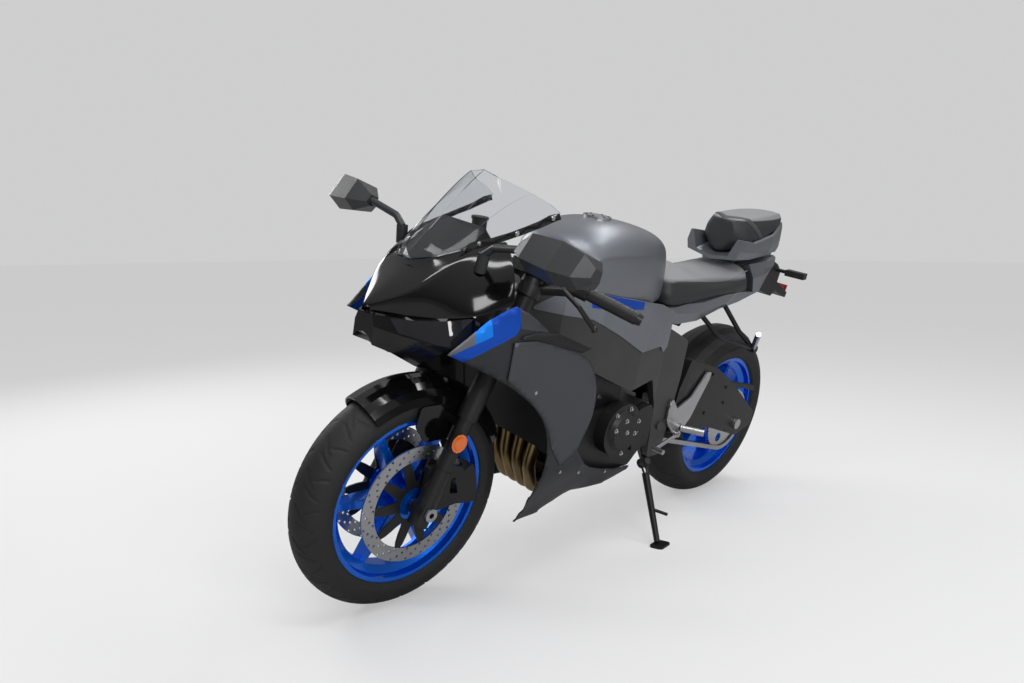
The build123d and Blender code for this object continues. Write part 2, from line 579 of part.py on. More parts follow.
# --- Tank, seats and tail ----------------------------------------------------------------------
# each row: x, then the left half of the section as (y, z) from top middle to bottom middle
tank_sections = [
    (1010, [(0, 952), (55, 948), (95, 925), (112, 885), (100, 826), (0, 826)]),
    (945, [(0, 1004), (70, 998), (128, 965), (150, 912), (136, 815), (0, 815)]),
    (850, [(0, 1024), (82, 1016), (148, 975), (170, 905), (150, 800), (0, 800)]),
    (720, [(0, 1012), (84, 1006), (146, 962), (164, 895), (148, 786), (0, 786)]),
    (600, [(0, 990), (66, 984), (110, 940), (122, 880), (116, 790), (0, 790)]),
    (545, [(0, 972), (48, 966), (76, 915), (84, 865), (80, 795), (0, 795)]),
    (490, [(0, 948), (24, 940), (44, 900), (48, 855), (46, 800), (0, 800)]),
    (455, [(0, 925), (10, 920), (16, 890), (18, 850), (18, 804), (0, 804)])]
fuel_tank = body_loft(tank_sections)
cap_middle = Vector(819, 0, 1019)
fuel_tank -= rod(cap_middle - Vector(0, 0, 6), cap_middle + Vector(0, 0, 30), 44)
tank_cap = rod(cap_middle - Vector(0, 0, 5.7), cap_middle + Vector(0, 0, 4), 40)

rider_seat_sections = [
    (560, [(0, 850), (60, 848), (98, 836), (106, 790), (102, 750), (0, 750)]),
    (505, [(0, 888), (44, 876), (97, 846), (113, 795), (112, 750), (0, 750)]),
    (445, [(0, 905), (48, 884), (100, 845), (121, 796), (120, 750), (0, 750)]),
    (370, [(0, 870), (74, 858), (116, 836), (131, 796), (128, 755), (0, 755)]),
    (280, [(0, 858), (86, 850), (122, 834), (134, 806), (130, 765), (0, 765)]),
    (180, [(0, 868), (86, 856), (114, 842), (128, 810), (122, 765), (0, 765)]),
    (80, [(0, 886), (76, 884), (92, 872), (103, 826), (100, 765), (0, 765)]),
    (-15, [(0, 896), (70, 894), (84, 878), (92, 830), (90, 765), (0, 765)])]
# the line along which the seat meets the tray under and behind it
seat_outline = [(600, 768), (493, 769), (380, 787), (266, 801), (100, 797), (-4, 789), (79, 894), (140, 940),
                (600, 940)]
seat_clear = Vector(0.7, 0, 0.3)
rider_seat = body_loft(rider_seat_sections, ruled=True) & Pos(*seat_clear) * side_slab(seat_outline, -300, 300)
pillion_sections = [
    (152, [(0, 1030), (34, 1026), (52, 1000), (44, 960), (22, 925), (0, 918)]),
    (122, [(0, 1040), (54, 1034), (74, 1000), (80, 962), (52, 922), (0, 903)]),
    (80, [(0, 1048), (66, 1040), (88, 1002), (94, 968), (66, 940), (0, 930)]),
    (-60, [(0, 1062), (62, 1056), (80, 1026), (84, 996), (58, 978), (0, 972)]),
    (-150, [(0, 1064), (42, 1060), (54, 1044), (56, 1024), (38, 1008), (0, 1003)]),
    (-205, [(0, 1058), (22, 1056), (32, 1046), (34, 1030), (22, 1024), (0, 1023)])]
pillion_seat = body_loft(pillion_sections, ruled=True)

tray_sections = [
    (640, [(0, 778), (84, 778), (116, 772), (122, 764), (118, 750), (0, 750)]),
    (470, [(0, 782), (80, 782), (114, 775), (120, 748), (112, 712), (0, 712)]),
    (353, [(0, 796), (90, 796), (122, 780), (124, 745), (108, 714), (0, 712)]),
    (218, [(0, 806), (100, 806), (122, 800), (124, 770), (102, 744), (0, 742)]),
    (98, [(0, 860), (84, 880), (97, 890), (108, 840), (98, 760), (0, 756)]),
    (-60, [(0, 893), (70, 900), (84, 896), (92, 850), (84, 788), (0, 784)]),
    (-190, [(0, 900), (38, 902), (50, 892), (52, 872), (44, 856), (0, 852)]),
    (-222, [(0, 902), (26, 902), (34, 898), (36, 890), (30, 880), (0, 878)])]
cowl_sections = [
    (176, [(0, 902), (62, 912), (86, 974), (95, 972), (102, 935), (94, 906), (0, 890)]),
    (80, [(0, 928), (68, 938), (92, 966), (100, 962), (104, 930), (92, 906), (0, 894)]),
    (-60, [(0, 970), (60, 976), (83, 994), (90, 988), (92, 950), (80, 918), (0, 900)]),
    (-150, [(0, 1001), (40, 1006), (55, 1022), (62, 1012), (66, 970), (56, 922), (0, 904)]),
    (-205, [(0, 1021), (22, 1022), (34, 1028), (40, 1010), (42, 960), (36, 918), (0, 906)]),
    (-232, [(0, 990), (16, 990), (24, 984), (30, 960), (28, 930), (22, 914), (0, 908)])]
tray = body_loft(tray_sections, ruled=True) - side_slab(seat_outline, -300, 300)
cowl = body_loft(cowl_sections, ruled=True)
cowl_post = side_slab([(60, 880), (60, 935), (-190, 935), (-190, 890)], -30, 30)
tail_cowl = tray + cowl + cowl_post
fuel_tank -= main_frame
tail_cowl -= main_frame
rider_seat -= fuel_tank
pillion_seat -= tail_cowl
pillion_footrests -= tail_cowl
frame_covers -= fuel_tank
frame_covers -= tail_cowl
frame_covers -= rider_seat
tail_bracket = side_slab([(-130, 815), (-150, 862), (-215, 885), (-262, 868), (-297, 842), (-290, 800),
                          (-392, 754), (-386, 734), (-290, 764), (-262, 746), (-164, 774)], -32, 32)
tail_bracket -= tail_cowl
tail_lamp = side_slab([(-232.3, 984), (-250, 976), (-252, 934), (-232.3, 920)], -20, 20, 3)
rear_signals = both_sides(rod(Vector(-262, 32.3, 848), Vector(-264, 78, 848), 7)
                          + Pos(-266, 108, 848) * Rot(0, 0, 8) * Box(40, 70, 22))

# --- Fairing -------------------------------------------------------------------------------------
fairing_sections = [
    (1602, [(0, 812), (28, 808), (45, 797), (55, 782), (56, 765), (50, 750), (40, 740), (25, 734), (0, 732)]),
    (1480, [(0, 912), (60, 898), (115, 865), (160, 817), (186, 768), (183, 735), (165, 708), (110, 690), (0, 684)]),
    (1330, [(0, 1010), (105, 985), (165, 930), (208, 860), (240, 780), (238, 690), (222, 600), (150, 540), (0, 520)]),
    (1150, [(0, 1060), (125, 1035), (180, 960), (220, 850), (247, 710), (245, 560), (215, 370), (100, 200), (0, 182)]),
    (950, [(0, 1000), (120, 980), (170, 920), (212, 830), (245, 700), (243, 570), (212, 380), (118, 200), (0, 172)]),
    (760, [(0, 900), (90, 880), (150, 840), (200, 790), (236, 700), (232, 560), (200, 380), (118, 208), (0, 176)]),
    (585, [(0, 880), (90, 860), (140, 820), (180, 780), (215, 700), (205, 560), (172, 400), (112, 218), (0, 190)])]
fairing_body = body_loft(fairing_sections)
nose_wall = 4.0
inner_sections = [(x - nose_wall if x > 1600 else x, inset(half, panel_wall)) for x, half in fairing_sections]
fairing_inner = body_loft(inner_sections)
fairing_shell = fairing_body - fairing_inner
stay_bar = rod(stay_front - Vector(0, 300, 0), stay_front + Vector(0, 300, 0), 9)
main_frame += stay_bar & body_loft([(x, inset(half, seat_gap)) for x, half in inner_sections])
side_outline = [(1484, 742), (1399, 816), (1318, 850), (1240, 810), (1170, 752), (1057, 708), (1008, 650),
                (985, 584), (985, 500), (1000, 436), (930, 372), (800, 312), (640, 276), (590, 262), (590, 150),
                (1100, 150), (1095, 240), (1112, 300), (1112, 370), (1122, 440), (1142, 492), (1185, 560),
                (1260, 625), (1370, 690)]
left_slab = side_slab(side_outline, seat_gap, 300)
left_fairing = (fairing_body & left_slab) - fairing_inner
right_fairing = mirror(left_fairing, about=Plane.XZ)
nose_sections = [
    (1576, [(0, 815), (6, 811), (12, 802), (12, 792), (0, 788)]),
    (1540, [(0, 850), (42, 834), (46, 812), (43, 791), (0, 788)]),
    (1500, [(0, 883), (78, 861), (98, 828), (99, 795), (0, 788)]),
    (1447, [(0, 924), (98, 905), (138, 860), (148, 806), (0, 788)]),
    (1375, [(0, 968), (112, 948), (178, 885), (196, 824), (0, 800)]),
    (1310, [(0, 1005), (122, 978), (198, 905), (215, 851), (0, 820)]),
    (1240, [(0, 1030), (128, 998), (205, 920), (222, 872), (0, 840)])]
nose_body = body_loft(nose_sections, ruled=True)
beak_from, beak_wall = 1560, 4
nose_hollow = body_loft([(x - beak_wall * (x > beak_from), inset(half, panel_wall)) for x, half in nose_sections], ruled=True)
nose_outline = [(1640, 700), (1640, 840), (1482, 913), (1400, 945), (1262, 983), (1276, 975), (1312, 938),
                (1330, 885), (1317, 846), (1399, 812), (1500, 780)]
upper_nose = (nose_body - nose_hollow) & side_slab(nose_outline, -300, 300)
chin_sections = [
    (1570, [(0, 792), (24, 792), (36, 765), (37, 723), (22, 738), (0, 744)]),
    (1520, [(0, 794), (66, 794), (82, 752), (44, 702), (24, 714), (0, 720)]),
    (1450, [(0, 800), (140, 804), (166, 744), (52, 664), (26, 678), (0, 684)]),
    (1392, [(0, 806), (168, 812), (180, 738), (66, 650), (30, 664), (0, 670)])]
chin_body = body_loft(chin_sections, ruled=True)
chin_hollow = body_loft([(x - beak_wall * (x > beak_from), inset(half, panel_wall)) for x, half in chin_sections], ruled=True)
lamp_outline = [(1540, 787), (1500, 790), (1447, 801), (1400, 810), (1400, 750), (1470, 746), (1528, 758)]
lamp_slab = side_slab(lamp_outline, 40, 300, 3)
chin = (chin_body - chin_hollow) & side_slab([(1580, 650), (1580, 788), (1500, 791), (1447, 802), (1392, 812),
                                              (1392, 640)], -300, 300)
nose_cowl = upper_nose + chin
nose_cowl -= lamp_slab
nose_cowl -= mirror(lamp_slab, about=Plane.XZ)
nose_cowl -= left_fairing
nose_cowl -= right_fairing
lamp_back = body_loft([(x - 22, inset(half, 12)) for x, half in chin_sections], ruled=True)
headlamps = both_sides(((chin_body & lamp_slab) - lamp_back).solids().sort_by(SortBy.VOLUME)[-1])

# --- Screen, dash and mirrors ----------------------------------------------------------------------
screen_wall = 3.0
screen_sections = [
    (1484, [(0, 916), (20, 914), (40, 910), (44, 900), (0, 890)]),
    (1400, [(0, 998), (46, 988), (80, 962), (92, 930), (0, 900)]),
    (1280, [(0, 1118), (52, 1104), (96, 1052), (116, 972), (0, 900)]),
    (1115, [(0, 1160), (62, 1146), (114, 1092), (130, 1006), (0, 900)])]
screen_body = body_loft(screen_sections)
screen_shell = screen_body - body_loft(screen_sections, screen_wall)
screen_outline = [(1500, 905), (1500, 930), (1282, 1140), (1270, 1112), (1150, 1066), (1115, 1046),
                  (1126, 1030), (1240, 990.5), (1262, 983.5), (1400, 945.5), (1482, 913.5)]
windscreen = screen_shell & side_slab(screen_outline, -200, 200)

dash_middle = Vector(1292, 0, 956)
dash = Pos(*dash_middle) * Rot(0, 44, 0) * Box(26, 156, 92)
dash = fillet(dash.edges().filter_by(Axis.Y, reverse=True), 6)
dash_hood = side_slab([(1455, 899), (1324, 990), (1300, 975), (1440, 886)], -84, 84)
dash_hood &= body_loft(screen_sections, screen_wall + seat_gap)
instrument_panel = dash + dash_hood + rod(dash_middle, stay_front, 12)
instrument_panel -= main_frame
instrument_panel -= nose_cowl

mirror_root = Vector(1378, 148, 952)
mirror_inner = Vector(1390, 268, 992)
mirror_sections = [
    # out from the middle, along, up: half length, half height, middle x, middle z
    (266, 18, 15, 1390, 992), (312, 48, 42, 1394, 996), (386, 58, 48, 1380, 990), (430, 48, 38, 1364, 984),
    (450, 18, 16, 1354, 981)]
left_mirror = Solid.make_loft([
    Wire.make_polygon([(x + length, y, z - high * 0.2), (x + length * 0.3, y, z + high),
                       (x - length, y, z + high * 0.5), (x - length * 0.8, y, z - high),
                       (x + length * 0.4, y, z - high * 0.9)])
    for y, length, high, x, z in mirror_sections], True)
left_mirror += bent_tube([mirror_root, mirror_root + Vector(0, 30, 22), mirror_inner], 9, [20])
left_mirror += rod(mirror_root - Vector(0, 4, 40), mirror_root + Vector(0, 2, 4), 14)
left_mirror -= nose_body
mirrors = both_sides(left_mirror)

# --- Leaned onto the stand -------------------------------------------------------------------------
chassis = dict(
    main_frame=main_frame, frame_covers=frame_covers, engine=engine, engine_covers=engine_covers, radiator=radiator,
    exhaust_headers=headers, silencer=silencer, fuel_tank=fuel_tank, tank_cap=tank_cap,
    rider_seat=rider_seat, pillion_seat=pillion_seat, tail_cowl=tail_cowl, plate_bracket=tail_bracket,
    tail_lamp=tail_lamp, rear_signals=rear_signals, nose_cowl=nose_cowl, headlamps=headlamps,
    windscreen=windscreen, instrument_panel=instrument_panel, mirrors=mirrors,
    side_fairing_left=left_fairing, side_fairing_right=right_fairing,
    swingarm=swingarm, rear_axle=rear_axle_pin, chain=chain, rear_hugger=hugger, rear_shock=shock,
    rear_caliper=rear_caliper, footrest_left=left_footrest, footrest_right=right_footrest,
    pillion_footrests=pillion_footrests)
rear_wheel = dict(rear_rim=rear_rim, rear_tyre=rear_tyre, rear_disc=rear_disc, rear_sprocket=rear_sprocket)
front_wheel = dict(front_rim=front_rim, front_tyre=front_tyre, front_discs=front_discs)
steering = dict(
    fork_legs=fork_legs, front_axle=front_axle_pin, steering_clamps=steering_clamps,
    clip_on_bars=clip_on_bars, grips=grips, fluid_pot=fluid_pot, front_calipers=front_calipers,
    front_mudguard=front_mudguard)


def turned(point, angle, axis_point, axis_line):
    """A point turned about an axis."""
    arm = point - axis_point
    line = axis_line.normalized()
    turn = math.radians(angle)
    return (axis_point + arm * math.cos(turn) + line.cross(arm) * math.sin(turn)
            + line * (line.dot(arm) * (1 - math.cos(turn))))


def lowest(centre, axle_line, radius, crown):
    """Height of the lowest point of a leaned tyre with a round crown."""
    return centre.Z - (radius - crown) * math.sqrt(1 - axle_line.Z ** 2) - crown


steer_axis = Axis(steer_foot, steer_up)
steered_front_axle = turned(front_axle, steer, steer_foot, steer_up)
steered_axle_line = turned(Vector(0, 1, 0), steer, Vector(0, 0, 0), steer_up)
pitch = 0.0
for step in range(4):
    leaned = [turned(turned(v, pitch, Vector(0, 0, 0), Vector(0, 1, 0)), -lean, Vector(0, 0, 0), Vector(1, 0, 0))
              for v in (steered_front_axle, steered_axle_line, rear_axle, Vector(0, 1, 0))]
    front_low = lowest(leaned[0], leaned[1], front_tyre_radius, front_tyre_half)
    rear_low = lowest(leaned[2], leaned[3], rear_tyre_radius, rear_crown_radius)
    pitch += math.degrees((front_low - rear_low) / wheelbase)
settle = Vector(0, 0, -rear_low)


def parked_point(point):
    """Where a point of the upright bike lies once it is parked."""
    pitched = turned(Vector(point), pitch, Vector(0, 0, 0), Vector(0, 1, 0))
    return turned(pitched, -lean, Vector(0, 0, 0), Vector(1, 0, 0)) + settle


def parked_line(line):
    return parked_point(line) - parked_point((0, 0, 0))


def park(shape):
    shape = shape.rotate(Axis.Y, pitch).rotate(Axis.X, -lean)
    return shape.translate(settle)


# the stand is drawn parked, so that its foot lies flat on the road
stand_top = parked_point(stand_pivot)
stand_toe = Vector(stand_foot[0], stand_foot[1], 0)
stand_leg_line = (stand_toe - stand_top).normalized()
folded_line = parked_line((-0.98, 0.17, 0.08)).normalized()
stand_axis = stand_leg_line.cross(folded_line).normalized()
foot_wall = 6.0
leg_end = stand_toe + Vector(0, 0, foot_wall) - stand_leg_line * 4
ear_radius = 16.0
ear_wall = 6.0
bracket_radius = 9.0
bolt_radius = 7.0
leg_start = stand_top + stand_leg_line * 36
side_stand = rod(leg_start, leg_end, 12, 9)
foot = Pos(*(stand_toe + Vector(-2, 8, foot_wall / 2))) * Rot(0, 0, 8) * Box(64, 44, foot_wall)
side_stand += fillet(foot.edges().filter_by(Axis.Z), 12)
for side in (1, -1):
    ear_in = stand_axis * side * (bracket_radius + 0.8)
    ear_out = stand_axis * side * (bracket_radius + 0.8 + ear_wall)
    side_stand += rod(stand_top + ear_in, stand_top + ear_out, ear_radius)
    side_stand += rod(stand_top + stand_leg_line * 10 + (ear_in + ear_out) / 2,
                      leg_start + stand_leg_line * 6 + stand_axis * side * 5, ear_wall / 2 + 0.4)
side_stand -= rod(stand_top - stand_axis * 40, stand_top + stand_axis * 40, bolt_radius + running_gap)
side_stand -= rod(stand_top - stand_axis * (bracket_radius + 0.8), stand_top + stand_axis * (bracket_radius + 0.8),
                  ear_radius + 3)
tab_start = stand_top + stand_leg_line * 150
side_stand += rod(tab_start, tab_start + parked_line((-0.35, 0.94, 0)) * 52, 5)
bolt_reach = bracket_radius + 0.8 + ear_wall + 0.6
stand_bracket = rod(stand_top - stand_axis * (bolt_reach + 4), stand_top + stand_axis * (bolt_reach + 4), bolt_radius)
for side in (1, -1):
    stand_bracket += rod(stand_top + stand_axis * side * bolt_reach,
                         stand_top + stand_axis * side * (bolt_reach + 4), 11)
bracket_top = parked_point((lower_tube_spot[0], stand_pivot[1] - 36, lower_tube_spot[1]))
stand_bracket += rod(stand_top - stand_axis * bracket_radius, stand_top + stand_axis * bracket_radius, 13)
stand_bracket += rod(stand_top, bracket_top, bracket_radius - 2)

placed = {name: park(shape) for name, shape in {**chassis, **rear_wheel}.items()}
placed.update({name: park(shape.rotate(steer_axis, steer)) for name, shape in {**front_wheel, **steering}.items()})
placed["main_frame"] += stand_bracket
placed["side_stand"] = side_stand

boxes = [shape.bounding_box() for shape in placed.values()]
low_corner = Vector(*(min(getattr(box.min, way) for box in boxes) for way in ("X", "Y", "Z")))
high_corner = Vector(*(max(getattr(box.max, way) for box in boxes) for way in ("X", "Y", "Z")))
origin_shift = Vector(-(low_corner.X + high_corner.X) / 2, -(low_corner.Y + high_corner.Y) / 2, -low_corner.Z)
parts = {name: shape.translate(origin_shift) for name, shape in placed.items()}

os.makedirs("parts", exist_ok=True)
for name, shape in parts.items():
    export_step(shape, f"parts/{name}.step")
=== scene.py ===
import json
import math

import bpy
import bmesh
from mathutils import Matrix, Vector
from mathutils.bvhtree import BVHTree


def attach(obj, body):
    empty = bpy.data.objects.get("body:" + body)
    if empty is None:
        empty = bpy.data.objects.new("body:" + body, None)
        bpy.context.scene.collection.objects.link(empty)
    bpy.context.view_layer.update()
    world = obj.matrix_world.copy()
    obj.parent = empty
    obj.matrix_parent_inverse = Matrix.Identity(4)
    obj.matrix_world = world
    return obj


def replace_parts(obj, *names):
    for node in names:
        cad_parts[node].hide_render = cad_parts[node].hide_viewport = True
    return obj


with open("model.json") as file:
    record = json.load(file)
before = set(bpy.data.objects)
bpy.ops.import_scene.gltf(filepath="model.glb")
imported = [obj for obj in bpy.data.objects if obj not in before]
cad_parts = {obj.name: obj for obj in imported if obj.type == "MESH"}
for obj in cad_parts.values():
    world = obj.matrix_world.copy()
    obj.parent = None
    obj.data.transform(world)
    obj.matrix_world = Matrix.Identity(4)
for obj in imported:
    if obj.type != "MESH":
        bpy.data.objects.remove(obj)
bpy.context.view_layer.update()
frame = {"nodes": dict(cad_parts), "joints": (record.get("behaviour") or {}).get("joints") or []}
cad = frame["nodes"]

# --- Showroom -----------------------------------------------------------------------------------
# A pale poured floor under a pale sky of soft light, brighter overhead than at the horizon, with two
# long panels above and a soft one on each side. The camera stands low by the left front wheel.
scene = bpy.context.scene
scene.view_settings.view_transform = "Standard"
rear_axle_point = Vector(next(j for j in frame["joints"] if j["name"] == "rear_wheel_spin")["pos_m"])
camera_from_axle = Vector((2.6435, 1.6277, 0.6113))
ahead, sunk, turned_left = math.radians(-135.343), math.radians(-6.775), math.radians(0.14)
looking = Vector((math.cos(sunk) * math.cos(ahead), math.cos(sunk) * math.sin(ahead), math.sin(sunk)))
camera_data = bpy.data.cameras.new("camera")
camera_data.sensor_width, camera_data.lens = 36.0, 29.01
camera_data.clip_start, camera_data.clip_end = 0.05, 100.0
camera = bpy.data.objects.new("camera", camera_data)
camera.rotation_mode = "QUATERNION"
camera.rotation_quaternion = (looking.to_track_quat("-Z", "Y").to_matrix().to_4x4()
                              @ Matrix.Rotation(-turned_left, 4, "Z")).to_quaternion()
camera.location = rear_axle_point + camera_from_axle
scene.collection.objects.link(camera)
scene.camera = camera


def node_tools(tree):
    """The functions that add a node to this tree and join two of its nodes."""
    def add(kind, **settings):
        node = tree.nodes.new(kind)
        for key, value in settings.items():
            if key in node.inputs:
                node.inputs[key].default_value = value
            else:
                setattr(node, key, value)
        return node

    def join(out_node, out_name, in_node, in_name):
        tree.links.new(out_node.outputs[out_name], in_node.inputs[in_name])

    return add, join


def new_material(name):
    """A material with its shader and the functions that add and join its nodes."""
    made = bpy.data.materials.new(name)
    made.use_nodes = True
    add, join = node_tools(made.node_tree)
    return made, made.node_tree.nodes["Principled BSDF"], add, join


def ramp_between(add, low, low_at, high, high_at):
    """A ramp from one colour to another."""
    ramp = add("ShaderNodeValToRGB")
    for stop, colour, place in zip(ramp.color_ramp.elements, (low, high), (low_at, high_at)):
        stop.color = (*colour, 1)
        stop.position = place
    return ramp


floor_colour, floor_glow, reach = (0.50, 0.50, 0.505), 0.36, 40.0
floor_paint, floor_shader, add, join = new_material("pale_floor")
floor_shader.inputs["Base Color"].default_value = (*floor_colour, 1)
floor_shader.inputs["Emission Color"].default_value = (1.0, 1.0, 1.0, 1)
floor_shader.inputs["Roughness"].default_value = 0.85
floor_shader.inputs["Specular IOR Level"].default_value = 0.1
to_camera = add("ShaderNodeLightPath")
glow = add("ShaderNodeMath", operation="MULTIPLY")
glow.inputs[1].default_value = floor_glow
join(to_camera, "Is Camera Ray", glow, 0)
join(glow, "Value", floor_shader, "Emission Strength")
floor_mesh = bpy.data.meshes.new("floor")
floor_mesh.from_pydata([(-reach, -reach, 0), (reach, -reach, 0), (reach, reach, 0), (-reach, reach, 0)],
                       [], [(0, 1, 2, 3)])
floor_mesh.materials.append(floor_paint)
floor = bpy.data.objects.new("floor", floor_mesh)
scene.collection.objects.link(floor)

sky_strength, horizon, overhead = 0.55, (0.22, 0.22, 0.23), (1.0, 1.0, 1.0)
backdrop = (0.62, 0.62, 0.625, 1)
world = bpy.data.worlds.new("studio")
scene.world = world
world.use_nodes = True
add, join = node_tools(world.node_tree)
lit = world.node_tree.nodes["Background"]
lit.inputs["Strength"].default_value = sky_strength
direction = add("ShaderNodeTexCoord")
height = add("ShaderNodeSeparateXYZ")
sky = ramp_between(add, horizon, 0.05, overhead, 0.75)
join(direction, "Generated", height, 0)
join(height, "Z", sky, "Fac")
join(sky, "Color", lit, "Color")
# the camera and clear glass see this plain backdrop, and the sky only lights the object
seen = add("ShaderNodeBackground", Color=backdrop, Strength=1.0)
paths = add("ShaderNodeLightPath")
shown = add("ShaderNodeMath", operation="MAXIMUM")
join(paths, "Is Camera Ray", shown, 0)
join(paths, "Is Transmission Ray", shown, 1)
which = add("ShaderNodeMixShader")
join(shown, 0, which, "Fac")
join(lit, 0, which, 1)
join(seen, 0, which, 2)
join(which, 0, world.node_tree.nodes["World Output"], "Surface")

# each row: name, place, aimed at, width, depth, power
for name, place, aim, width, depth, power in (
        ("panel_over_nose", (1.4, 1.0, 3.6), (0.2, 0.1, 0.5), 3.0, 0.3, 34),
        ("panel_over_tail", (-1.6, 0.6, 3.6), (-0.3, 0, 0.5), 3.0, 0.3, 30),
        ("panel_right", (0.6, -3.6, 2.4), (0, 0, 0.6), 2.4, 1.0, 45),
        ("side_fill", (1.6, 4.2, 1.9), (0.1, 0, 0.5), 2.6, 1.0, 75)):
    light = bpy.data.lights.new(name, "AREA")
    light.shape, light.size, light.size_y, light.energy = "RECTANGLE", width, depth, power
    lamp = bpy.data.objects.new(name, light)
    lamp.location = place
    lamp.rotation_mode = "QUATERNION"
    lamp.rotation_quaternion = (Vector(aim) - Vector(place)).to_track_quat("-Z", "Y")
    scene.collection.objects.link(lamp)

# --- Frame and its covers -----------------------------------------------------------------------
# The twin-spar frame is cast and pressed aluminium in satin grey-black; moulded covers in the tank's
# silver clip over the spars, with a blue stripe along their top edge.

# Sizes from here on are millimetres on the upright machine, x ahead of the rear axle and y to the left.
# bike leans them onto the stand.
lean = math.radians(13.2)
axle_height = 315.0
bike = (Matrix.Translation(rear_axle_point) @ Matrix.Rotation(-lean, 4, "X")
        @ Matrix.Scale(0.001, 4) @ Matrix.Translation((0, 0, -axle_height)))
unlean = bike.inverted()
# the sockets of a colour Mix node
mix_under, mix_over, mix_result = 6, 7, 2


def upright_split(add, join, place):
    """A node that splits a place into its x, y and z on the upright machine, in metres."""
    upright = add("ShaderNodeMapping", vector_type="TEXTURE", Location=bike @ Vector((0, 0, 0)),
                  Rotation=(-lean, 0, 0))
    join(place, "Object", upright, "Vector")
    split = add("ShaderNodeSeparateXYZ")
    join(upright, "Vector", split, "Vector")
    return split


def inside_outline(add, join, split, outline):
    """A node that gives 1 inside a convex outline in x and z on the upright machine, and 0 outside it."""
    edges = list(zip(outline, outline[1:] + outline[:1]))
    turn = sum(a[0] * b[1] - b[0] * a[1] for a, b in edges)
    mask = None
    for (ax, az), (bx, bz) in edges:
        nx, nz = (az - bz, bx - ax) if turn > 0 else (bz - az, ax - bx)
        along = add("ShaderNodeMath", operation="MULTIPLY")
        along.inputs[1].default_value = nx
        join(split, "X", along, 0)
        across = add("ShaderNodeMath", operation="MULTIPLY_ADD")
        across.inputs[1].default_value = nz
        join(split, "Z", across, 0)
        join(along, "Value", across, 2)
        side = add("ShaderNodeMath", operation="GREATER_THAN")
        side.inputs[1].default_value = (nx * ax + nz * az) / 1000
        join(across, "Value", side, 0)
        if mask is None:
            mask = side
        else:
            both = add("ShaderNodeMath", operation="MULTIPLY")
            join(mask, "Value", both, 0)
            join(side, "Value", both, 1)
            mask = both
    return mask


def vary_gloss(add, join, shader, noise, smoothest, roughest):
    """Lets the roughness drift with a noise between two values."""
    gloss = add("ShaderNodeMapRange", **{"To Min": smoothest, "To Max": roughest})
    join(noise, "Fac", gloss, "Value")
    join(gloss, "Result", shader, "Roughness")


def emboss(add, join, shader, texture, out_name, strength, height):
    """Presses a texture into the surface, this many metres high."""
    relief = add("ShaderNodeBump", Strength=strength, Distance=height)
    join(texture, out_name, relief, "Height")
    join(relief, "Normal", shader, "Normal")


def speckled(name, colour, metal, rough, coat=0.0, coat_rough=0.03, grain=900.0, bump=0.02, tint=0.12,
             paints=()):
    """A finish with drift in colour and gloss and a fine grain. Each paint is a colour and the convex
    outline, in x and z on the upright machine, that it fills."""
    drift_scale, grain_height = 7.0, 0.0005
    made, shader, add, join = new_material(name)
    place = add("ShaderNodeTexCoord")
    drift = add("ShaderNodeTexNoise", Scale=drift_scale, Detail=4.0)
    join(place, "Object", drift, "Vector")
    base = ramp_between(add, [c * (1 - tint) for c in colour], 0.3,
                        [min(c * (1 + tint), 1.0) for c in colour], 0.7)
    join(drift, "Fac", base, "Fac")
    base_out = "Color"
    if paints:
        split = upright_split(add, join, place)
    for paint, outline in paints:
        mixed = add("ShaderNodeMix", data_type="RGBA")
        join(inside_outline(add, join, split, outline), "Value", mixed, "Factor")
        join(base, base_out, mixed, mix_under)
        mixed.inputs[mix_over].default_value = (*paint, 1)
        base, base_out = mixed, mix_result
    join(base, base_out, shader, "Base Color")
    vary_gloss(add, join, shader, drift, smoothest=rough * 0.9, roughest=min(rough * 1.12, 1.0))
    if bump:
        fine = add("ShaderNodeTexNoise", Scale=grain, Detail=2.0)
        join(place, "Object", fine, "Vector")
        emboss(add, join, shader, fine, "Fac", bump, grain_height)
    shader.inputs["Metallic"].default_value = metal
    shader.inputs["Coat Weight"].default_value = coat
    shader.inputs["Coat Roughness"].default_value = coat_rough
    return made


def wear(finish, *names):
    """Puts a finish on solids that keep their shape."""
    for name in names:
        solid = cad[name]
        solid.data.materials.clear()
        solid.data.materials.append(finish)


silver = (0.215, 0.23, 0.255)
blue_dark = (0.0, 0.075, 0.52)
frame_black = speckled("frame_black", (0.070, 0.070, 0.072), metal=0.5, rough=0.42, bump=0.1)
wear(frame_black, "main_frame")
cover_paint = speckled("cover_paint", silver, metal=0.7, rough=0.4, coat=0.15, coat_rough=0.3,
                       paints=((blue_dark, [(960, 846), (940, 800), (740, 790), (740, 812)]),))
wear(cover_paint, "frame_covers")

# --- Engine, radiator and exhaust ----------------------------------------------------------------
# The cast block and its round covers are powder-coated black, held by zinc-plated flange bolts; the
# headers are stainless steel gone bronze with heat, and the silencer is brushed steel.
engine_black = speckled("engine_black", (0.013, 0.013, 0.014), metal=0.2, rough=0.42, bump=0.25)
wear(engine_black, "engine", "engine_covers")
header_steel = speckled("header_steel", (0.30, 0.21, 0.10), metal=1.0, rough=0.3, bump=0.05, tint=0.35)
wear(header_steel, "exhaust_headers")
silencer_steel = speckled("silencer_steel", (0.16, 0.16, 0.17), metal=1.0, rough=0.34, bump=0.05)
wear(silencer_steel, "silencer")
radiator_black = speckled("radiator_black", (0.012, 0.012, 0.012), metal=0.2, rough=0.6, bump=0.3)
wear(radiator_black, "radiator")
plated = speckled("plated_steel", (0.62, 0.62, 0.63), metal=1.0, rough=0.26, bump=0.03)


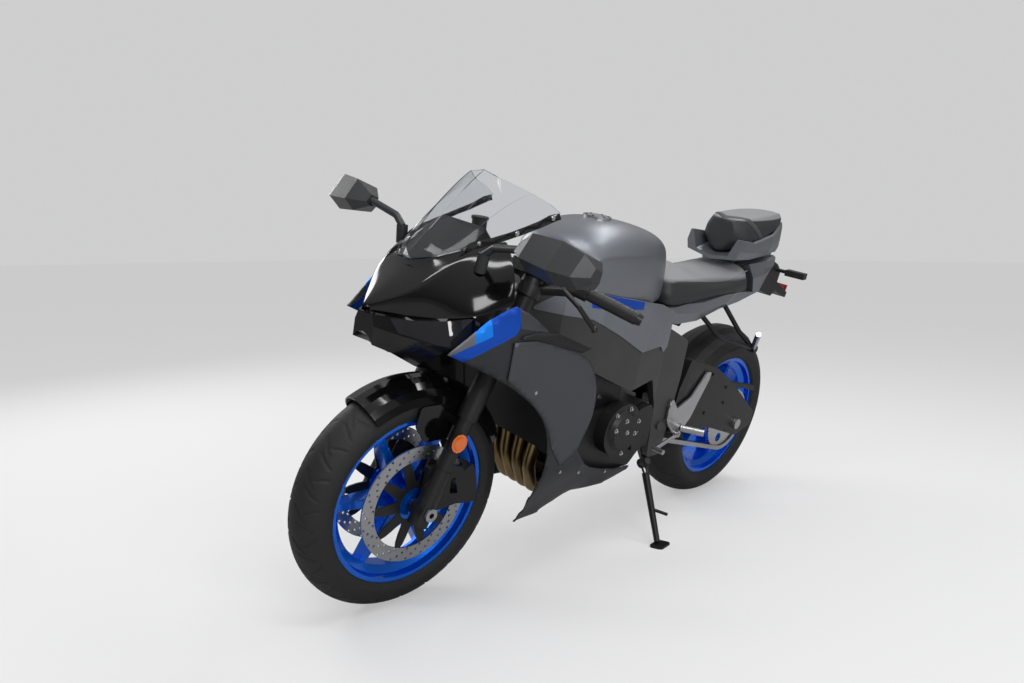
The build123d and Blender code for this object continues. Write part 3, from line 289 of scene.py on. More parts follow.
def put(name, points, faces, finish, body, slot, stand=bike, smooth=True):
    """A mesh piece from points in millimetres, riding on a body."""
    mesh = bpy.data.meshes.new(name)
    mesh.from_pydata([stand @ Vector(p) for p in points], [], faces)
    mesh.validate()
    made = bmesh.new()
    made.from_mesh(mesh)
    bmesh.ops.recalc_face_normals(made, faces=made.faces)
    made.to_mesh(mesh)
    made.free()
    for face in mesh.polygons:
        face.use_smooth = smooth
    mesh.materials.append(finish)
    piece = bpy.data.objects.new(name, mesh)
    scene.collection.objects.link(piece)
    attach(piece, body)
    return piece


def skin(rows, closed=False, capped=False):
    """Points and faces of a sheet through rows of as many points each."""
    across = len(rows[0])
    points = [p for row in rows for p in row]
    faces = []
    for i in range(len(rows) - 1):
        for j in range(across - (0 if closed else 1)):
            k = (j + 1) % across
            faces.append((i * across + j, i * across + k, (i + 1) * across + k, (i + 1) * across + j))
    if capped:
        faces.append(tuple(range(across)))
        faces.append(tuple(range((len(rows) - 1) * across, len(rows) * across)))
    return points, faces


def bolt_heads(name, spots, outward, radius, height, body, slot, stand=bike, sides=6, finish=plated):
    """Flanged bolt heads in one mesh, standing on their spots and facing outward. Six sides give a
    hexagon, and more give a head that is nearly round."""
    corners, flange, flange_height, top = 12, 1.35, height * 0.3, 0.92
    outward = Vector(outward).normalized()
    across = outward.orthogonal().normalized()
    up = outward.cross(across)
    points, faces = [], []
    for spot in spots:
        rings = []
        for reach, wide in ((0, flange), (flange_height, flange), (flange_height, 1.0), (height, top)):
            ring = []
            for i in range(corners):
                turn = 2 * math.pi * i / corners
                flat = math.cos(math.pi / sides) if wide <= 1 and i % 2 else 1.0
                ring.append(tuple(Vector(spot) + outward * reach
                                  + (across * math.cos(turn) + up * math.sin(turn)) * radius * wide * flat))
            rings.append(ring)
        first = len(points)
        head, walls = skin(rings, closed=True)
        points += head
        faces += [tuple(first + v for v in face) for face in walls]
        faces.append(tuple(range(len(points) - corners, len(points))))
    return put(name, points, faces, finish, body, slot, stand=stand, smooth=False)


def ring_of(centre, radius, count, start):
    """Places, in x and z, round a circle that faces sideways, from a start angle on."""
    turns = [math.radians(start + 360 * i / count) for i in range(count)]
    return [(centre[0] + radius * math.cos(turn), centre[1] + radius * math.sin(turn)) for turn in turns]


def surface_of(mesh, stand=bike):
    """A mesh's surface in millimetres on the upright machine, for seating trim on it."""
    upright = stand.inverted()
    mesh.calc_loop_triangles()
    return BVHTree.FromPolygons([upright @ v.co for v in mesh.vertices],
                                [tuple(t.vertices) for t in mesh.loop_triangles])


def on_side(surface, x, z, side, lift=0.0):
    """Where a line from the left (1) or right (-1) at x and z first meets the surface, lifted off it, or
    None where it misses."""
    beyond = 900
    hit = surface.ray_cast(Vector((x, side * beyond, z)), Vector((0, -side, 0)))[0]
    return (x, hit.y + side * lift, z) if hit else None


cover_skin = surface_of(cad["engine_covers"].data)
block_skin = surface_of(cad["engine"].data)
left_and_right = ((1, "left"), (-1, "right"))
clutch, generator = (702, 452), (838, 470)
block_bolts = [(905, 610), (870, 560), (780, 590), (700, 560), (655, 480), (640, 400), (660, 330),
               (720, 350), (930, 520), (610, 520)]
for side, word in left_and_right:
    spots = [on_side(cover_skin, x, z, side) or on_side(block_skin, x, z, side)
             for x, z in ring_of(generator, radius=62, count=9, start=12)
             + ring_of(clutch, radius=40, count=6, start=12) + block_bolts]
    bolt_heads(f"engine_bolts_{word}", [spot for spot in spots if spot], (0, side, 0), radius=5.5, height=6,
               body="chassis", slot="steel")

# --- Swingarm, chain and rear brake ---------------------------------------------------------------
# The braced swingarm is cast aluminium in black; a moulded chain guard and hugger are screwed to it,
# and the chain is steel on an alloy sprocket.
black_alloy = speckled("black_alloy", (0.016, 0.016, 0.017), metal=0.3, rough=0.38, bump=0.1)
wear(black_alloy, "swingarm", "rear_shock", "rear_caliper")
black_plastic = speckled("black_plastic", (0.013, 0.013, 0.014), metal=0.0, rough=0.5, bump=0.2)
wear(black_plastic, "rear_hugger")
disc_steel = speckled("disc_steel", (0.5, 0.5, 0.5), metal=1.0, rough=0.28, bump=0.05)
wear(disc_steel, "chain")
bright_alloy = speckled("bright_alloy", (0.55, 0.55, 0.56), metal=1.0, rough=0.3, bump=0.05)
wear(bright_alloy, "rear_axle", "rear_sprocket")


def seats_on(surface, spots, side, lift=0.0):
    """Each spot, in x and z, that lies over the surface, set on it."""
    found = [on_side(surface, x, z, side, lift) for x, z in spots]
    return [seat for seat in found if seat]


arm_bolts = seats_on(surface_of(cad["swingarm"].data), ((233, 529), (123, 468), (118, 411), (232, 390)), 1)
bolt_heads("swingarm_bolts", arm_bolts, (0, 1, 0), radius=5, height=4, body="chassis",
           slot="black_alloy", finish=black_alloy)

# --- Wheels ------------------------------------------------------------------------------------
# Cast six-spoke wheels in candy blue carry road tyres with slanted grooves cut each side of the
# middle; the front brakes are drilled stainless discs riding on black carriers.
candy_blue = speckled("candy_blue", (0.0, 0.16, 0.86), metal=0.75, rough=0.24, coat=0.6)
wear(candy_blue, "front_rim", "rear_rim")
rubber = speckled("tyre_rubber", (0.012, 0.012, 0.0125), metal=0.0, rough=0.62, bump=0.3)
front_centre, rear_centre = Vector((1400.0, 0, 300.0)), (0, 0, axle_height)
# the steered pieces turn with the parked bars about the raked axis through the steering foot
rake, steering_turn = math.radians(23.5), math.radians(-2.6)
steering_foot = Vector((1501, 0, 0))
steered = (bike @ Matrix.Translation(steering_foot)
           @ Matrix.Rotation(steering_turn, 4, Vector((-math.sin(rake), 0, math.cos(rake))))
           @ Matrix.Translation(-steering_foot))


def treaded_tyre(name, node, stand, centre, radius, crown, half, bead, body, blocks):
    """A tyre turned from its crown, with slanted grooves pressed into the tread on both sides."""
    turns, across = 600, 57
    quarter, wrap, tuck, pinch = math.pi / 2, math.radians(112), math.radians(22), 0.10
    groove_depth, groove_half, groove_wall = 2.6, 3.4, 1.2
    # each row: place along a block, slant, and where it starts and ends, as shares of the half width
    grooves = ((0.0, 0.9, 0.10, 0.62), (0.5, 0.55, 0.34, 0.84), (0.25, -0.5, 0.55, 0.92))
    middle = radius - crown
    rows = []
    for i in range(turns):
        turn = 2 * math.pi * i / turns
        row = []
        for j in range(across):
            roll = (2 * j / (across - 1) - 1) * wrap
            if abs(roll) < quarter:
                y, out = half * math.sin(roll), middle + crown * math.cos(roll)
            else:
                inwards = (abs(roll) - quarter) / tuck
                y, out = half * math.copysign(1 - pinch * inwards, roll), middle - inwards * (middle - bead)
            lateral, depth = abs(y) / half, 0.0
            for shift, slant, first, last in grooves:
                if first < lateral < last:
                    phase = (turn * blocks / (2 * math.pi) + shift + slant * (lateral - first)
                             + (0.5 if y > 0 else 0)) % 1
                    gap = min(phase, 1 - phase) * 2 * math.pi * radius / blocks
                    depth = max(depth, groove_depth * max(0.0, min(1.0, (groove_half - gap) / groove_wall)))
            out -= depth * max(math.cos(roll), 0)
            y -= math.copysign(depth * abs(math.sin(roll)), y)
            row.append((centre[0] + out * math.cos(turn), centre[1] + y, centre[2] + out * math.sin(turn)))
        rows.append(row)
    points, faces = skin(rows + [rows[0]])
    first_again = turns * across
    faces = [tuple(v % first_again for v in face) for face in faces]
    for i in range(turns):
        a, b = i * across, (i + 1) % turns * across
        faces.append((a, b, b + across - 1, a + across - 1))
    piece = put(name, points[:first_again], faces, rubber, body, "tyre_rubber", stand=stand)
    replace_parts(piece, node)


treaded_tyre("front_tyre_tread", "front_tyre", steered, front_centre, radius=300.0, crown=60.0, half=60.0,
             bead=222.0, body="front_wheel", blocks=22)
treaded_tyre("rear_tyre_tread", "rear_tyre", bike, rear_centre, radius=315.0, crown=62.0, half=90.0,
             bead=224.0, body="rear_wheel", blocks=20)


def walled(piece, thickness, offset=-1.0):
    """Gives a sheet its wall: inwards at offset -1, and half to each side at 0."""
    wall = piece.modifiers.new("wall", "SOLIDIFY")
    wall.thickness, wall.offset = thickness / 1000, offset
    return piece


def drilled_disc(name, stand, centre, y, outer, inner, body):
    """A brake disc's friction band, with a hole drilled in every third cell of each ring."""
    rings, around, hole_radius, thickness = 4, 60, 3.6, 4.6
    points, faces, index = [], [], {}

    def corner(ring, step):
        key = (round(ring * 2), round(step * 2) % (around * 2))
        if key not in index:
            radius = inner + (outer - inner) * ring / rings
            turn = 2 * math.pi * step / around
            index[key] = len(points)
            points.append((centre[0] + radius * math.cos(turn), y, centre[2] + radius * math.sin(turn)))
        return index[key]

    for ring in range(rings):
        for step in range(around):
            edge = [corner(ring + up, step + on) for up, on in
                    ((0, 0), (0, 0.5), (0, 1), (0.5, 1), (1, 1), (1, 0.5), (1, 0), (0.5, 0))]
            if (step + 2 * ring) % 3:
                faces.append(tuple(edge))
                continue
            middle = sum((Vector(points[e]) for e in edge), Vector()) / len(edge)
            hole = []
            for e in edge:
                hole.append(len(points))
                points.append(tuple(middle + (Vector(points[e]) - middle).normalized() * hole_radius))
            for i in range(len(edge)):
                k = (i + 1) % len(edge)
                faces.append((edge[i], edge[k], hole[k], hole[i]))
    piece = put(name, points, faces, disc_steel, body, "steel", stand=stand, smooth=False)
    return walled(piece, thickness, offset=0.0)


def disc_carrier(name, stand, centre, y, band, hub, hole, arms, body):
    """The black alloy star that holds a brake disc to its hub."""
    steps, arm_half, flare, under_band, thickness = 120, 8, 3.2, 2, 4.4
    tip = band + under_band
    points = []
    for i in range(steps):
        turn = 2 * math.pi * i / steps
        from_arm = abs((i * arms / steps + 0.5) % 1 - 0.5) * 2 * math.pi * band / arms
        reach = tip if from_arm < arm_half else max(hub, tip - (from_arm - arm_half) * flare)
        for radius in (hole, reach):
            points.append((centre[0] + radius * math.cos(turn), y, centre[2] + radius * math.sin(turn)))
    faces = [(2 * i, 2 * i + 1, (2 * i + 3) % (2 * steps), (2 * i + 2) % (2 * steps)) for i in range(steps)]
    piece = put(name, points, faces, black_alloy, body, "steel", stand=stand, smooth=False)
    return walled(piece, thickness, offset=0.0)


# each row: disc, carrier, stand, centre, y, the band's outer and inner radius, hub, hole, arms, body, node
for disc, carrier, stand, centre, y, outer, inner, hub, hole, arms, body, node in (
        ("front_disc_left", "front_carrier_left", steered, front_centre, 66.0, 155.0, 119.0, 58.0, 45.0, 10,
         "front_wheel", "front_discs"),
        ("front_disc_right", "front_carrier_right", steered, front_centre, -66.0, 155.0, 119.0, 58.0, 45.0,
         10, "front_wheel", "front_discs"),
        ("rear_disc_band", "rear_carrier", bike, rear_centre, -96.0, 110.0, 78.0, 45.0, 32.0, 5,
         "rear_wheel", "rear_disc")):
    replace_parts(drilled_disc(disc, stand, centre, y, outer, inner, body), node)
    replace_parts(disc_carrier(carrier, stand, centre, y, inner, hub, hole, arms, body), node)

# --- Fork and bars -----------------------------------------------------------------------------
# An upside-down fork in black with forged clamps, clip-on bars with rubber grips, ball-ended levers
# and radial brake calipers; an amber reflector sits on each lower leg.
wear(black_alloy, "fork_legs", "steering_clamps", "clip_on_bars", "front_calipers", "fluid_pot")
wear(bright_alloy, "front_axle")
grip_rubber = speckled("grip_rubber", (0.013, 0.013, 0.014), metal=0.0, rough=0.42, bump=0.5, grain=500.0)
wear(grip_rubber, "grips")
black_lacquer = speckled("black_lacquer", (0.0035, 0.0035, 0.004), metal=0.0, rough=0.1, bump=0.0)
wear(black_lacquer, "front_mudguard")
amber = speckled("amber_lens", (0.80, 0.16, 0.01), metal=0.0, rough=0.15, coat=1.0, bump=0.0)
leg_skin = surface_of(cad["fork_legs"].data, steered)
reflector_height, set_back, base_height = 474, 12, 4
for side, word in left_and_right:
    front_edge = max(x for x in range(1280, 1400, 2) if on_side(leg_skin, x, reflector_height, side))
    x, y, z = on_side(leg_skin, front_edge - set_back, reflector_height, side)
    bolt_heads(f"fork_reflector_base_{word}", [(x, y, z)], (0, side, 0), radius=21, height=5,
               body="steering", slot="black_alloy", stand=steered, sides=32, finish=black_alloy)
    bolt_heads(f"fork_reflector_{word}", [(x, y + side * base_height, z)], (0, side, 0), radius=18,
               height=5, body="steering", slot="red_lens", stand=steered, sides=32, finish=amber)

# --- Side fairings -------------------------------------------------------------------------------
# Injection-moulded panels in dark graphite, with a lighter lower panel let in, a black vent slot over
# it, and a two-tone blue stripe by the nose with a thin grey edge. They are held by small button screws.
graphite, graphite_light = (0.036, 0.038, 0.042), (0.072, 0.076, 0.086)
edge_grey, blue_light = (0.16, 0.165, 0.175), (0.0, 0.24, 0.95)
fairing_paint = speckled(
    "fairing_paint", graphite, metal=0.45, rough=0.46, bump=0.05, tint=0.06,
    paints=((graphite_light, [(1303, 852), (1303, 802), (1250, 792), (1205, 780), (1240, 812), (1280, 836)]),
            (edge_grey, [(1492, 748), (1474, 731), (1414, 762), (1442, 780)]),
            (edge_grey, [(1444, 778), (1414, 762), (1422, 826), (1444, 812)]),
            (blue_light, [(1430, 822), (1387, 832), (1380, 785), (1421, 764)]),
            (blue_dark, [(1389, 836), (1300, 856), (1303, 837), (1310, 798), (1381, 783)]),
            (blue_dark, [(1421, 766), (1378, 786), (1384, 757), (1440, 722), (1480, 736)]),
            (blue_dark, [(1382, 787), (1309, 801), (1320, 787), (1386, 756)]),
            (graphite_light, [(1309, 862), (1305, 800), (1250, 790), (1240, 812), (1280, 842)])))


def draped(name, outline, surface, side, finish, slot, lift=0.0, wall=2.5):
    """A moulded sheet with this outline in x and z, laid over a surface seen from the side and evened."""
    cell, closest, rounds, ease, beyond = 18.0, 0.5, 12, 0.5, 230
    made = bmesh.new()
    made.faces.new([made.verts.new((x, 0, z)) for x, z in outline])
    for axis, along in ((0, Vector((1, 0, 0))), (2, Vector((0, 0, 1)))):
        low = min(v.co[axis] for v in made.verts)
        high = max(v.co[axis] for v in made.verts)
        line = math.ceil(low / cell) * cell
        while line < high:
            bmesh.ops.bisect_plane(made, geom=made.verts[:] + made.edges[:] + made.faces[:],
                                   plane_co=along * line, plane_no=along, dist=closest)
            line += cell
    made.verts.index_update()
    for vert in made.verts:
        x, z = vert.co.x, vert.co.z
        seat = on_side(surface, x, z, side) or surface.find_nearest(Vector((x, side * beyond, z)))[0]
        vert.co.y = seat[1]
    for _ in range(rounds):
        evened = {}
        for vert in made.verts:
            beside = [e.other_vert(vert) for e in vert.link_edges if e.is_boundary or not vert.is_boundary]
            if beside:
                evened[vert] = sum(v.co.y for v in beside) / len(beside)
        for vert, y in evened.items():
            vert.co.y += ease * (y - vert.co.y)
    points = [(v.co.x, v.co.y + side * lift, v.co.z) for v in made.verts]
    faces = [[v.index for v in face.verts] for face in made.faces]
    made.free()
    piece = put(name, points, faces, finish, "chassis", slot)
    if sum((unlean.to_3x3() @ face.normal).y for face in piece.data.polygons) * side < 0:
        piece.data.flip_normals()
    return walled(piece, wall)


panel_outline = [(1484, 742), (1440, 780), (1399, 816), (1360, 835), (1318, 849), (1280, 832), (1240, 808),
                 (1205, 778), (1170, 752), (1115, 728), (1057, 708), (1030, 682), (1008, 650), (992, 616),
                 (984, 580), (982, 540), (986, 500), (996, 462), (999, 436), (966, 402), (930, 372),
                 (870, 338), (800, 312), (720, 290), (640, 276), (592, 262), (596, 250), (700, 236),
                 (850, 214), (1000, 196), (1090, 196), (1098, 240), (1110, 300), (1112, 370), (1122, 440),
                 (1142, 492), (1160, 526), (1185, 560), (1220, 594), (1260, 625), (1310, 658), (1370, 690),
                 (1430, 718)]
raised_outline = [(1330, 772), (1260, 770), (1180, 752), (1115, 728), (1062, 706), (1036, 680), (1014, 648),
                  (998, 612), (990, 576), (988, 540), (992, 500), (1001, 464), (1004, 438), (1060, 404),
                  (1122, 470), (1150, 520), (1192, 570), (1250, 622), (1330, 680)]
vent_outline = [(1312, 777), (1303, 784), (1258, 790), (1175, 778), (1118, 758), (1045, 730), (1085, 722),
                (1166, 745), (1258, 772)]
panel_screws = [(1046, 378), (930, 340), (760, 292), (1236, 640)]
panel_paint = speckled("lower_panel_paint", graphite_light, metal=0.45, rough=0.45, bump=0.05, tint=0.05)
vent_black = speckled("vent_black", (0.008, 0.008, 0.008), metal=0.0, rough=0.6, bump=0.1)
for side, word in left_and_right:
    node = f"side_fairing_{word}"
    fairing_skin = surface_of(cad[node].data)
    # each row: name, outline, finish, lift, wall
    for name, outline, finish, lift, wall in (
            ("side_panel", panel_outline, fairing_paint, 0.0, 2.5),
            ("lower_panel", raised_outline, panel_paint, 2.2, 2.0),
            ("panel_vent", vent_outline, vent_black, 3.0, 2.0)):
        sheet = draped(f"{name}_{word}", outline, fairing_skin, side, finish, "graphite_panel", lift, wall)
        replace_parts(sheet, node)
    bolt_heads(f"panel_screws_{word}", seats_on(fairing_skin, panel_screws, side, lift=2.0), (0, side, 0),
               radius=3.6, height=2, body="chassis", slot="steel", sides=16)

# --- Nose, lamps and chin ------------------------------------------------------------------------
# The nose is one gloss-black moulding with a shoulder crease from its beak to the screen; under it a
# pointed chin in the same black, with a slim lamp on each side between them.
lamp_glass = speckled("lamp_glass", (0.015, 0.015, 0.017), metal=0.1, rough=0.06, coat=1.0, bump=0.0)
wear(lamp_glass, "headlamps")
nose_rings = [
    # top edge, shoulder crease, flank, low edge, from the beak to the rear
    [(1578, 0, 811), (1575, 8, 808), (1572, 14, 800), (1566, 12, 790)],
    [(1550, 0, 841), (1538, 44, 829), (1534, 52, 810), (1528, 48, 789)],
    [(1514, 0, 873), (1500, 80, 860), (1496, 97, 828), (1490, 88, 792)],
    [(1474, 0, 905), (1470, 93, 888), (1460, 124, 840), (1452, 136, 803)],
    [(1452, 60, 926), (1440, 102, 910), (1428, 152, 852), (1418, 180, 815)],
    [(1402, 84, 945), (1396, 110, 938), (1382, 178, 882), (1372, 200, 830)],
    [(1340, 112, 964), (1338, 121, 960), (1334, 193, 905), (1326, 213, 846)],
    [(1285, 122, 980), (1286, 129, 974), (1312, 187, 938), (1320, 214, 852)]]


def halves(rows):
    """A sheet through left-hand rows and its mirror image on the right."""
    points, faces = skin(rows)
    count = len(points)
    return (points + [(x, -y, z) for x, y, z in points],
            faces + [tuple(count + v for v in reversed(face)) for face in faces])


def joined(piece):
    """Joins the two halves of a piece where they meet in the middle."""
    meeting = 0.8
    made = bmesh.new()
    made.from_mesh(piece.data)
    bmesh.ops.remove_doubles(made, verts=made.verts, dist=meeting / 1000)
    bmesh.ops.recalc_face_normals(made, faces=made.faces)
    made.to_mesh(piece.data)
    made.free()
    return piece


def smoothed(piece, sharp, crease, wall=0.0):
    """Gives a piece its wall and subdivides it, and keeps the edges whose two ends pass the sharp test."""
    levels = 3
    mesh = piece.data
    kept = mesh.attributes.new("crease_edge", "FLOAT", "EDGE")
    for edge in mesh.edges:
        if sharp(*[unlean @ mesh.vertices[v].co for v in edge.vertices]):
            kept.data[edge.index].value = crease
    if wall:
        walled(piece, wall)
    round_off = piece.modifiers.new("rounding", "SUBSURF")
    round_off.levels = round_off.render_levels = levels


def near_any(places):
    """A test for edges that run between the places, on either side."""
    kept = {tuple(round(c) for c in place) for place in places}
    return lambda a, b: all((round(p.x), round(abs(p.y)), round(p.z)) in kept for p in (a, b))


nose = joined(put("nose_shell", *halves(nose_rings), black_lacquer, "chassis", "gloss_black"))
shoulder_crease = 1
smoothed(nose, near_any([ring[shoulder_crease] for ring in nose_rings]), crease=0.8, wall=3)
# the chin is what the cowl has below a line that rises behind its beak
chin_top, level_from, rise = 789, 1500, 0.2
chin = bmesh.new()
chin.from_mesh(cad["nose_cowl"].data)
for face in list(chin.faces):
    middle = unlean @ face.calc_center_median()
    if middle.z > chin_top + max(0.0, level_from - middle.x) * rise:
        chin.faces.remove(face)
bmesh.ops.delete(chin, geom=[v for v in chin.verts if not v.link_faces], context="VERTS")
chin.verts.index_update()
points = [tuple(unlean @ v.co) for v in chin.verts]
faces = [tuple(v.index for v in face.verts) for face in chin.faces]
chin.free()
chin_piece = put("nose_chin", points, faces, black_lacquer, "chassis", "gloss_black", smooth=False)
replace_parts(nose, "nose_cowl")
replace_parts(chin_piece, "nose_cowl")

# --- Tank ----------------------------------------------------------------------------------------
# A pressed steel tank in satin silver-grey, creased along each side; the round filler cap is satin
# alloy, held by a ring of small screws.
tank_paint = speckled("tank_paint", silver, metal=0.7, rough=0.38, coat=0.2, coat_rough=0.3, tint=0.05)
tank_rings = [
    # top middle, top edge, shoulder, side crease, tuck, lower edge, floor
    [(1008, 0, 958), (1008, 52, 952), (1008, 86, 934), (1006, 106, 900), (1002, 104, 872), (1000, 98, 832),
     (1000, 0, 832)],
    [(985, 0, 985), (985, 58, 980), (985, 100, 955), (980, 132, 920), (976, 134, 885), (976, 128, 830),
     (976, 0, 830)],
    [(945, 0, 1006), (945, 64, 1002), (945, 112, 978), (942, 146, 938), (942, 146, 896), (942, 140, 818),
     (942, 0, 818)],
    [(850, 0, 1024), (850, 80, 1017), (850, 132, 988), (850, 158, 940), (850, 163, 893), (850, 152, 804),
     (850, 0, 804)],
    [(740, 0, 1017), (740, 84, 1010), (740, 132, 982), (740, 152, 938), (740, 159, 886), (740, 148, 790),
     (740, 0, 790)],
    [(650, 0, 1001), (650, 72, 996), (650, 112, 972), (650, 126, 932), (650, 134, 880), (650, 128, 790),
     (650, 0, 790)],
    [(585, 0, 983), (585, 54, 978), (585, 82, 956), (585, 96, 918), (585, 104, 868), (585, 102, 793),
     (585, 0, 793)],
    [(530, 0, 966), (530, 34, 960), (530, 56, 938), (530, 66, 900), (530, 72, 858), (530, 70, 797),
     (530, 0, 797)],
    [(458, 0, 930), (458, 9, 926), (458, 14, 912), (458, 16, 884), (458, 18, 850), (458, 18, 804),
     (458, 0, 804)]]


def whole_rings(rings):
    """Closed rings from left halves that start and end on the middle."""
    return [ring + [(x, -y, z) for x, y, z in reversed(ring[1:-1])] for ring in rings]


tank = put("tank_shell", *skin(whole_rings(tank_rings), closed=True, capped=True), tank_paint, "chassis",
           "satin_tank_grey")
side_crease, lower_edge, underside = 3, 5, 6
smoothed(tank, near_any([ring[side_crease] for ring in tank_rings[1:7]]
                        + [ring[i] for ring in tank_rings for i in (lower_edge, underside)]), crease=0.75)
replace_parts(tank, "fuel_tank")
wear(bright_alloy, "tank_cap")
cap_x, cap_height, screw_circle = 819, 1023, 31
cap_spots = [(cap_x + screw_circle * math.cos(turn), screw_circle * math.sin(turn), cap_height)
             for turn in (math.radians(15 + 60 * i) for i in range(6))]
bolt_heads("cap_screws", cap_spots, (0, 0, 1), radius=3, height=1.5, body="chassis", slot="alloy",
           finish=black_alloy)

# --- Seats ---------------------------------------------------------------------------------------
# Moulded foam under grained vinyl: a stepped rider's seat, lighter on top than on its sides with piping
# between, and a raised pillion pad with a strap band sewn across it. Both hook onto the tail.
seat_dark, seat_pale = (0.026, 0.027, 0.029), (0.27, 0.275, 0.285)


def vinyl(name, pale_from, rise, soft):
    """Grained vinyl, paler above a line that is given as its height at x = 0 and its rise per metre."""
    grain_scale, grain_depth, grain_height = 700.0, 0.35, 0.0006
    made, shader, add, join = new_material(name)
    place = add("ShaderNodeTexCoord")
    split = upright_split(add, join, place)
    above = add("ShaderNodeMath", operation="MULTIPLY_ADD")
    above.inputs[1].default_value = -rise
    join(split, "X", above, 0)
    join(split, "Z", above, 2)
    mask = add("ShaderNodeMapRange", **{"From Min": pale_from - soft / 2, "From Max": pale_from + soft / 2})
    join(above, "Value", mask, "Value")
    mixed = add("ShaderNodeMix", data_type="RGBA")
    mixed.inputs[mix_under].default_value = (*seat_dark, 1)
    mixed.inputs[mix_over].default_value = (*seat_pale, 1)
    join(mask, "Result", mixed, "Factor")
    join(mixed, mix_result, shader, "Base Color")
    grain = add("ShaderNodeTexVoronoi", Scale=grain_scale)
    join(place, "Object", grain, "Vector")
    emboss(add, join, shader, grain, "Distance", grain_depth, grain_height)
    patches = add("ShaderNodeTexNoise", Scale=12.0, Detail=3.0)
    join(place, "Object", patches, "Vector")
    vary_gloss(add, join, shader, patches, smoothest=0.45, roughest=0.62)
    return made


rider_vinyl = vinyl("rider_vinyl", pale_from=0.846, rise=0.0, soft=0.012)
seat_rings = [
    # top middle, top, crease, side, lower edge, floor
    [(556, 0, 850), (556, 50, 848), (556, 92, 836), (556, 104, 806), (556, 100, 772), (556, 0, 772)],
    [(505, 0, 888), (505, 44, 876), (505, 98, 846), (505, 113, 806), (505, 110, 771), (505, 0, 771)],
    [(445, 0, 902), (445, 46, 884), (445, 102, 846), (445, 121, 808), (445, 118, 779), (445, 0, 779)],
    [(370, 0, 870), (370, 70, 860), (370, 112, 843), (370, 130, 816), (370, 126, 792), (370, 0, 792)],
    [(280, 0, 856), (280, 80, 852), (280, 116, 840), (280, 134, 820), (280, 130, 803), (280, 0, 803)],
    [(180, 0, 866), (180, 82, 860), (180, 110, 846), (180, 127, 824), (180, 122, 802), (180, 0, 802)],
    [(100, 0, 882), (100, 72, 880), (98, 94, 866), (92, 108, 832), (88, 104, 799), (92, 0, 799)],
    [(74, 0, 888), (72, 70, 886), (66, 88, 866), (40, 96, 832), (10, 92, 796), (14, 0, 796)]]
rider_seat = put("rider_seat_cover", *skin(whole_rings(seat_rings), closed=True, capped=True), rider_vinyl,
                 "chassis", "seat_vinyl")
top_crease, low_edge = 2, 4
smoothed(rider_seat, near_any([ring[i] for ring in seat_rings for i in (top_crease, low_edge)]), crease=0.55)
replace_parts(rider_seat, "rider_seat")


def tube(name, route, radius, finish, body):
    """A round bar or pipe bent smoothly through its points."""
    curve = bpy.data.curves.new(name, "CURVE")
    curve.dimensions = "3D"
    line = curve.splines.new("NURBS")
    line.points.add(len(route) - 1)
    for point, spot in zip(line.points, route):
        point.co = (*(bike @ Vector(spot)), 1)
    line.order_u = min(4, len(route))
    line.use_endpoint_u = True
    curve.bevel_depth, curve.bevel_resolution = radius / 1000, 3
    curve.resolution_u = 8
    curve.use_fill_caps = True
    curve.materials.append(finish)
    piece = bpy.data.objects.new(name, curve)
    scene.collection.objects.link(piece)
    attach(piece, body)
    return piece


proud = 0.5
for side, word in left_and_right:
    seam = [(x, side * (y + proud), z + proud) for x, y, z in [ring[top_crease] for ring in seat_rings[1:]]]
    tube(f"rider_seat_piping_{word}", seam, radius=1.6, finish=rider_vinyl, body="chassis")
pillion_vinyl = vinyl("pillion_vinyl", pale_from=1.037, rise=-0.05, soft=0.004)
pillion_rings = [
    # top middle, top edge, shoulder, side, lower edge, bottom, from the front face to the tip
    [(154, 0, 1030), (153, 36, 1025), (152, 54, 1000), (151, 46, 960), (150, 20, 926), (150, 0, 920)],
    [(128, 0, 1039), (126, 54, 1033), (124, 75, 1000), (122, 80, 962), (120, 50, 923), (118, 0, 906)],
    [(80, 0, 1048), (80, 66, 1040), (80, 88, 1004), (80, 94, 969), (80, 66, 941), (80, 0, 932)],
    [(-60, 0, 1062), (-60, 62, 1056), (-60, 80, 1028), (-60, 84, 997), (-60, 58, 979), (-60, 0, 974)],
    [(-150, 0, 1064), (-150, 42, 1060), (-150, 54, 1045), (-150, 56, 1025), (-150, 38, 1009),
     (-150, 0, 1004)],
    [(-202, 0, 1058), (-203, 22, 1056), (-204, 32, 1046), (-203, 34, 1031), (-202, 22, 1025),
     (-202, 0, 1024)]]
pillion = put("pillion_seat_cover", *skin(whole_rings(pillion_rings), closed=True, capped=True),
              pillion_vinyl, "chassis", "seat_vinyl")
top_edge, widest = 1, 3
smoothed(pillion, near_any(pillion_rings[0]
                           + [ring[i] for ring in pillion_rings for i in (top_edge, widest)]), crease=0.6)
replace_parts(pillion, "pillion_seat")
strap_vinyl = speckled("strap_vinyl", (0.055, 0.057, 0.06), metal=0.0, rough=0.5, bump=0.35, grain=700.0)
pad_skin = surface_of(pillion.evaluated_get(bpy.context.evaluated_depsgraph_get()).to_mesh())
strap_steps, strap_wrap, strap_width = 40, math.radians(122), 26
strap_front, strap_sweep, sweep_power = 138, 165, 1.5
low_inside, high_inside = 985, 993
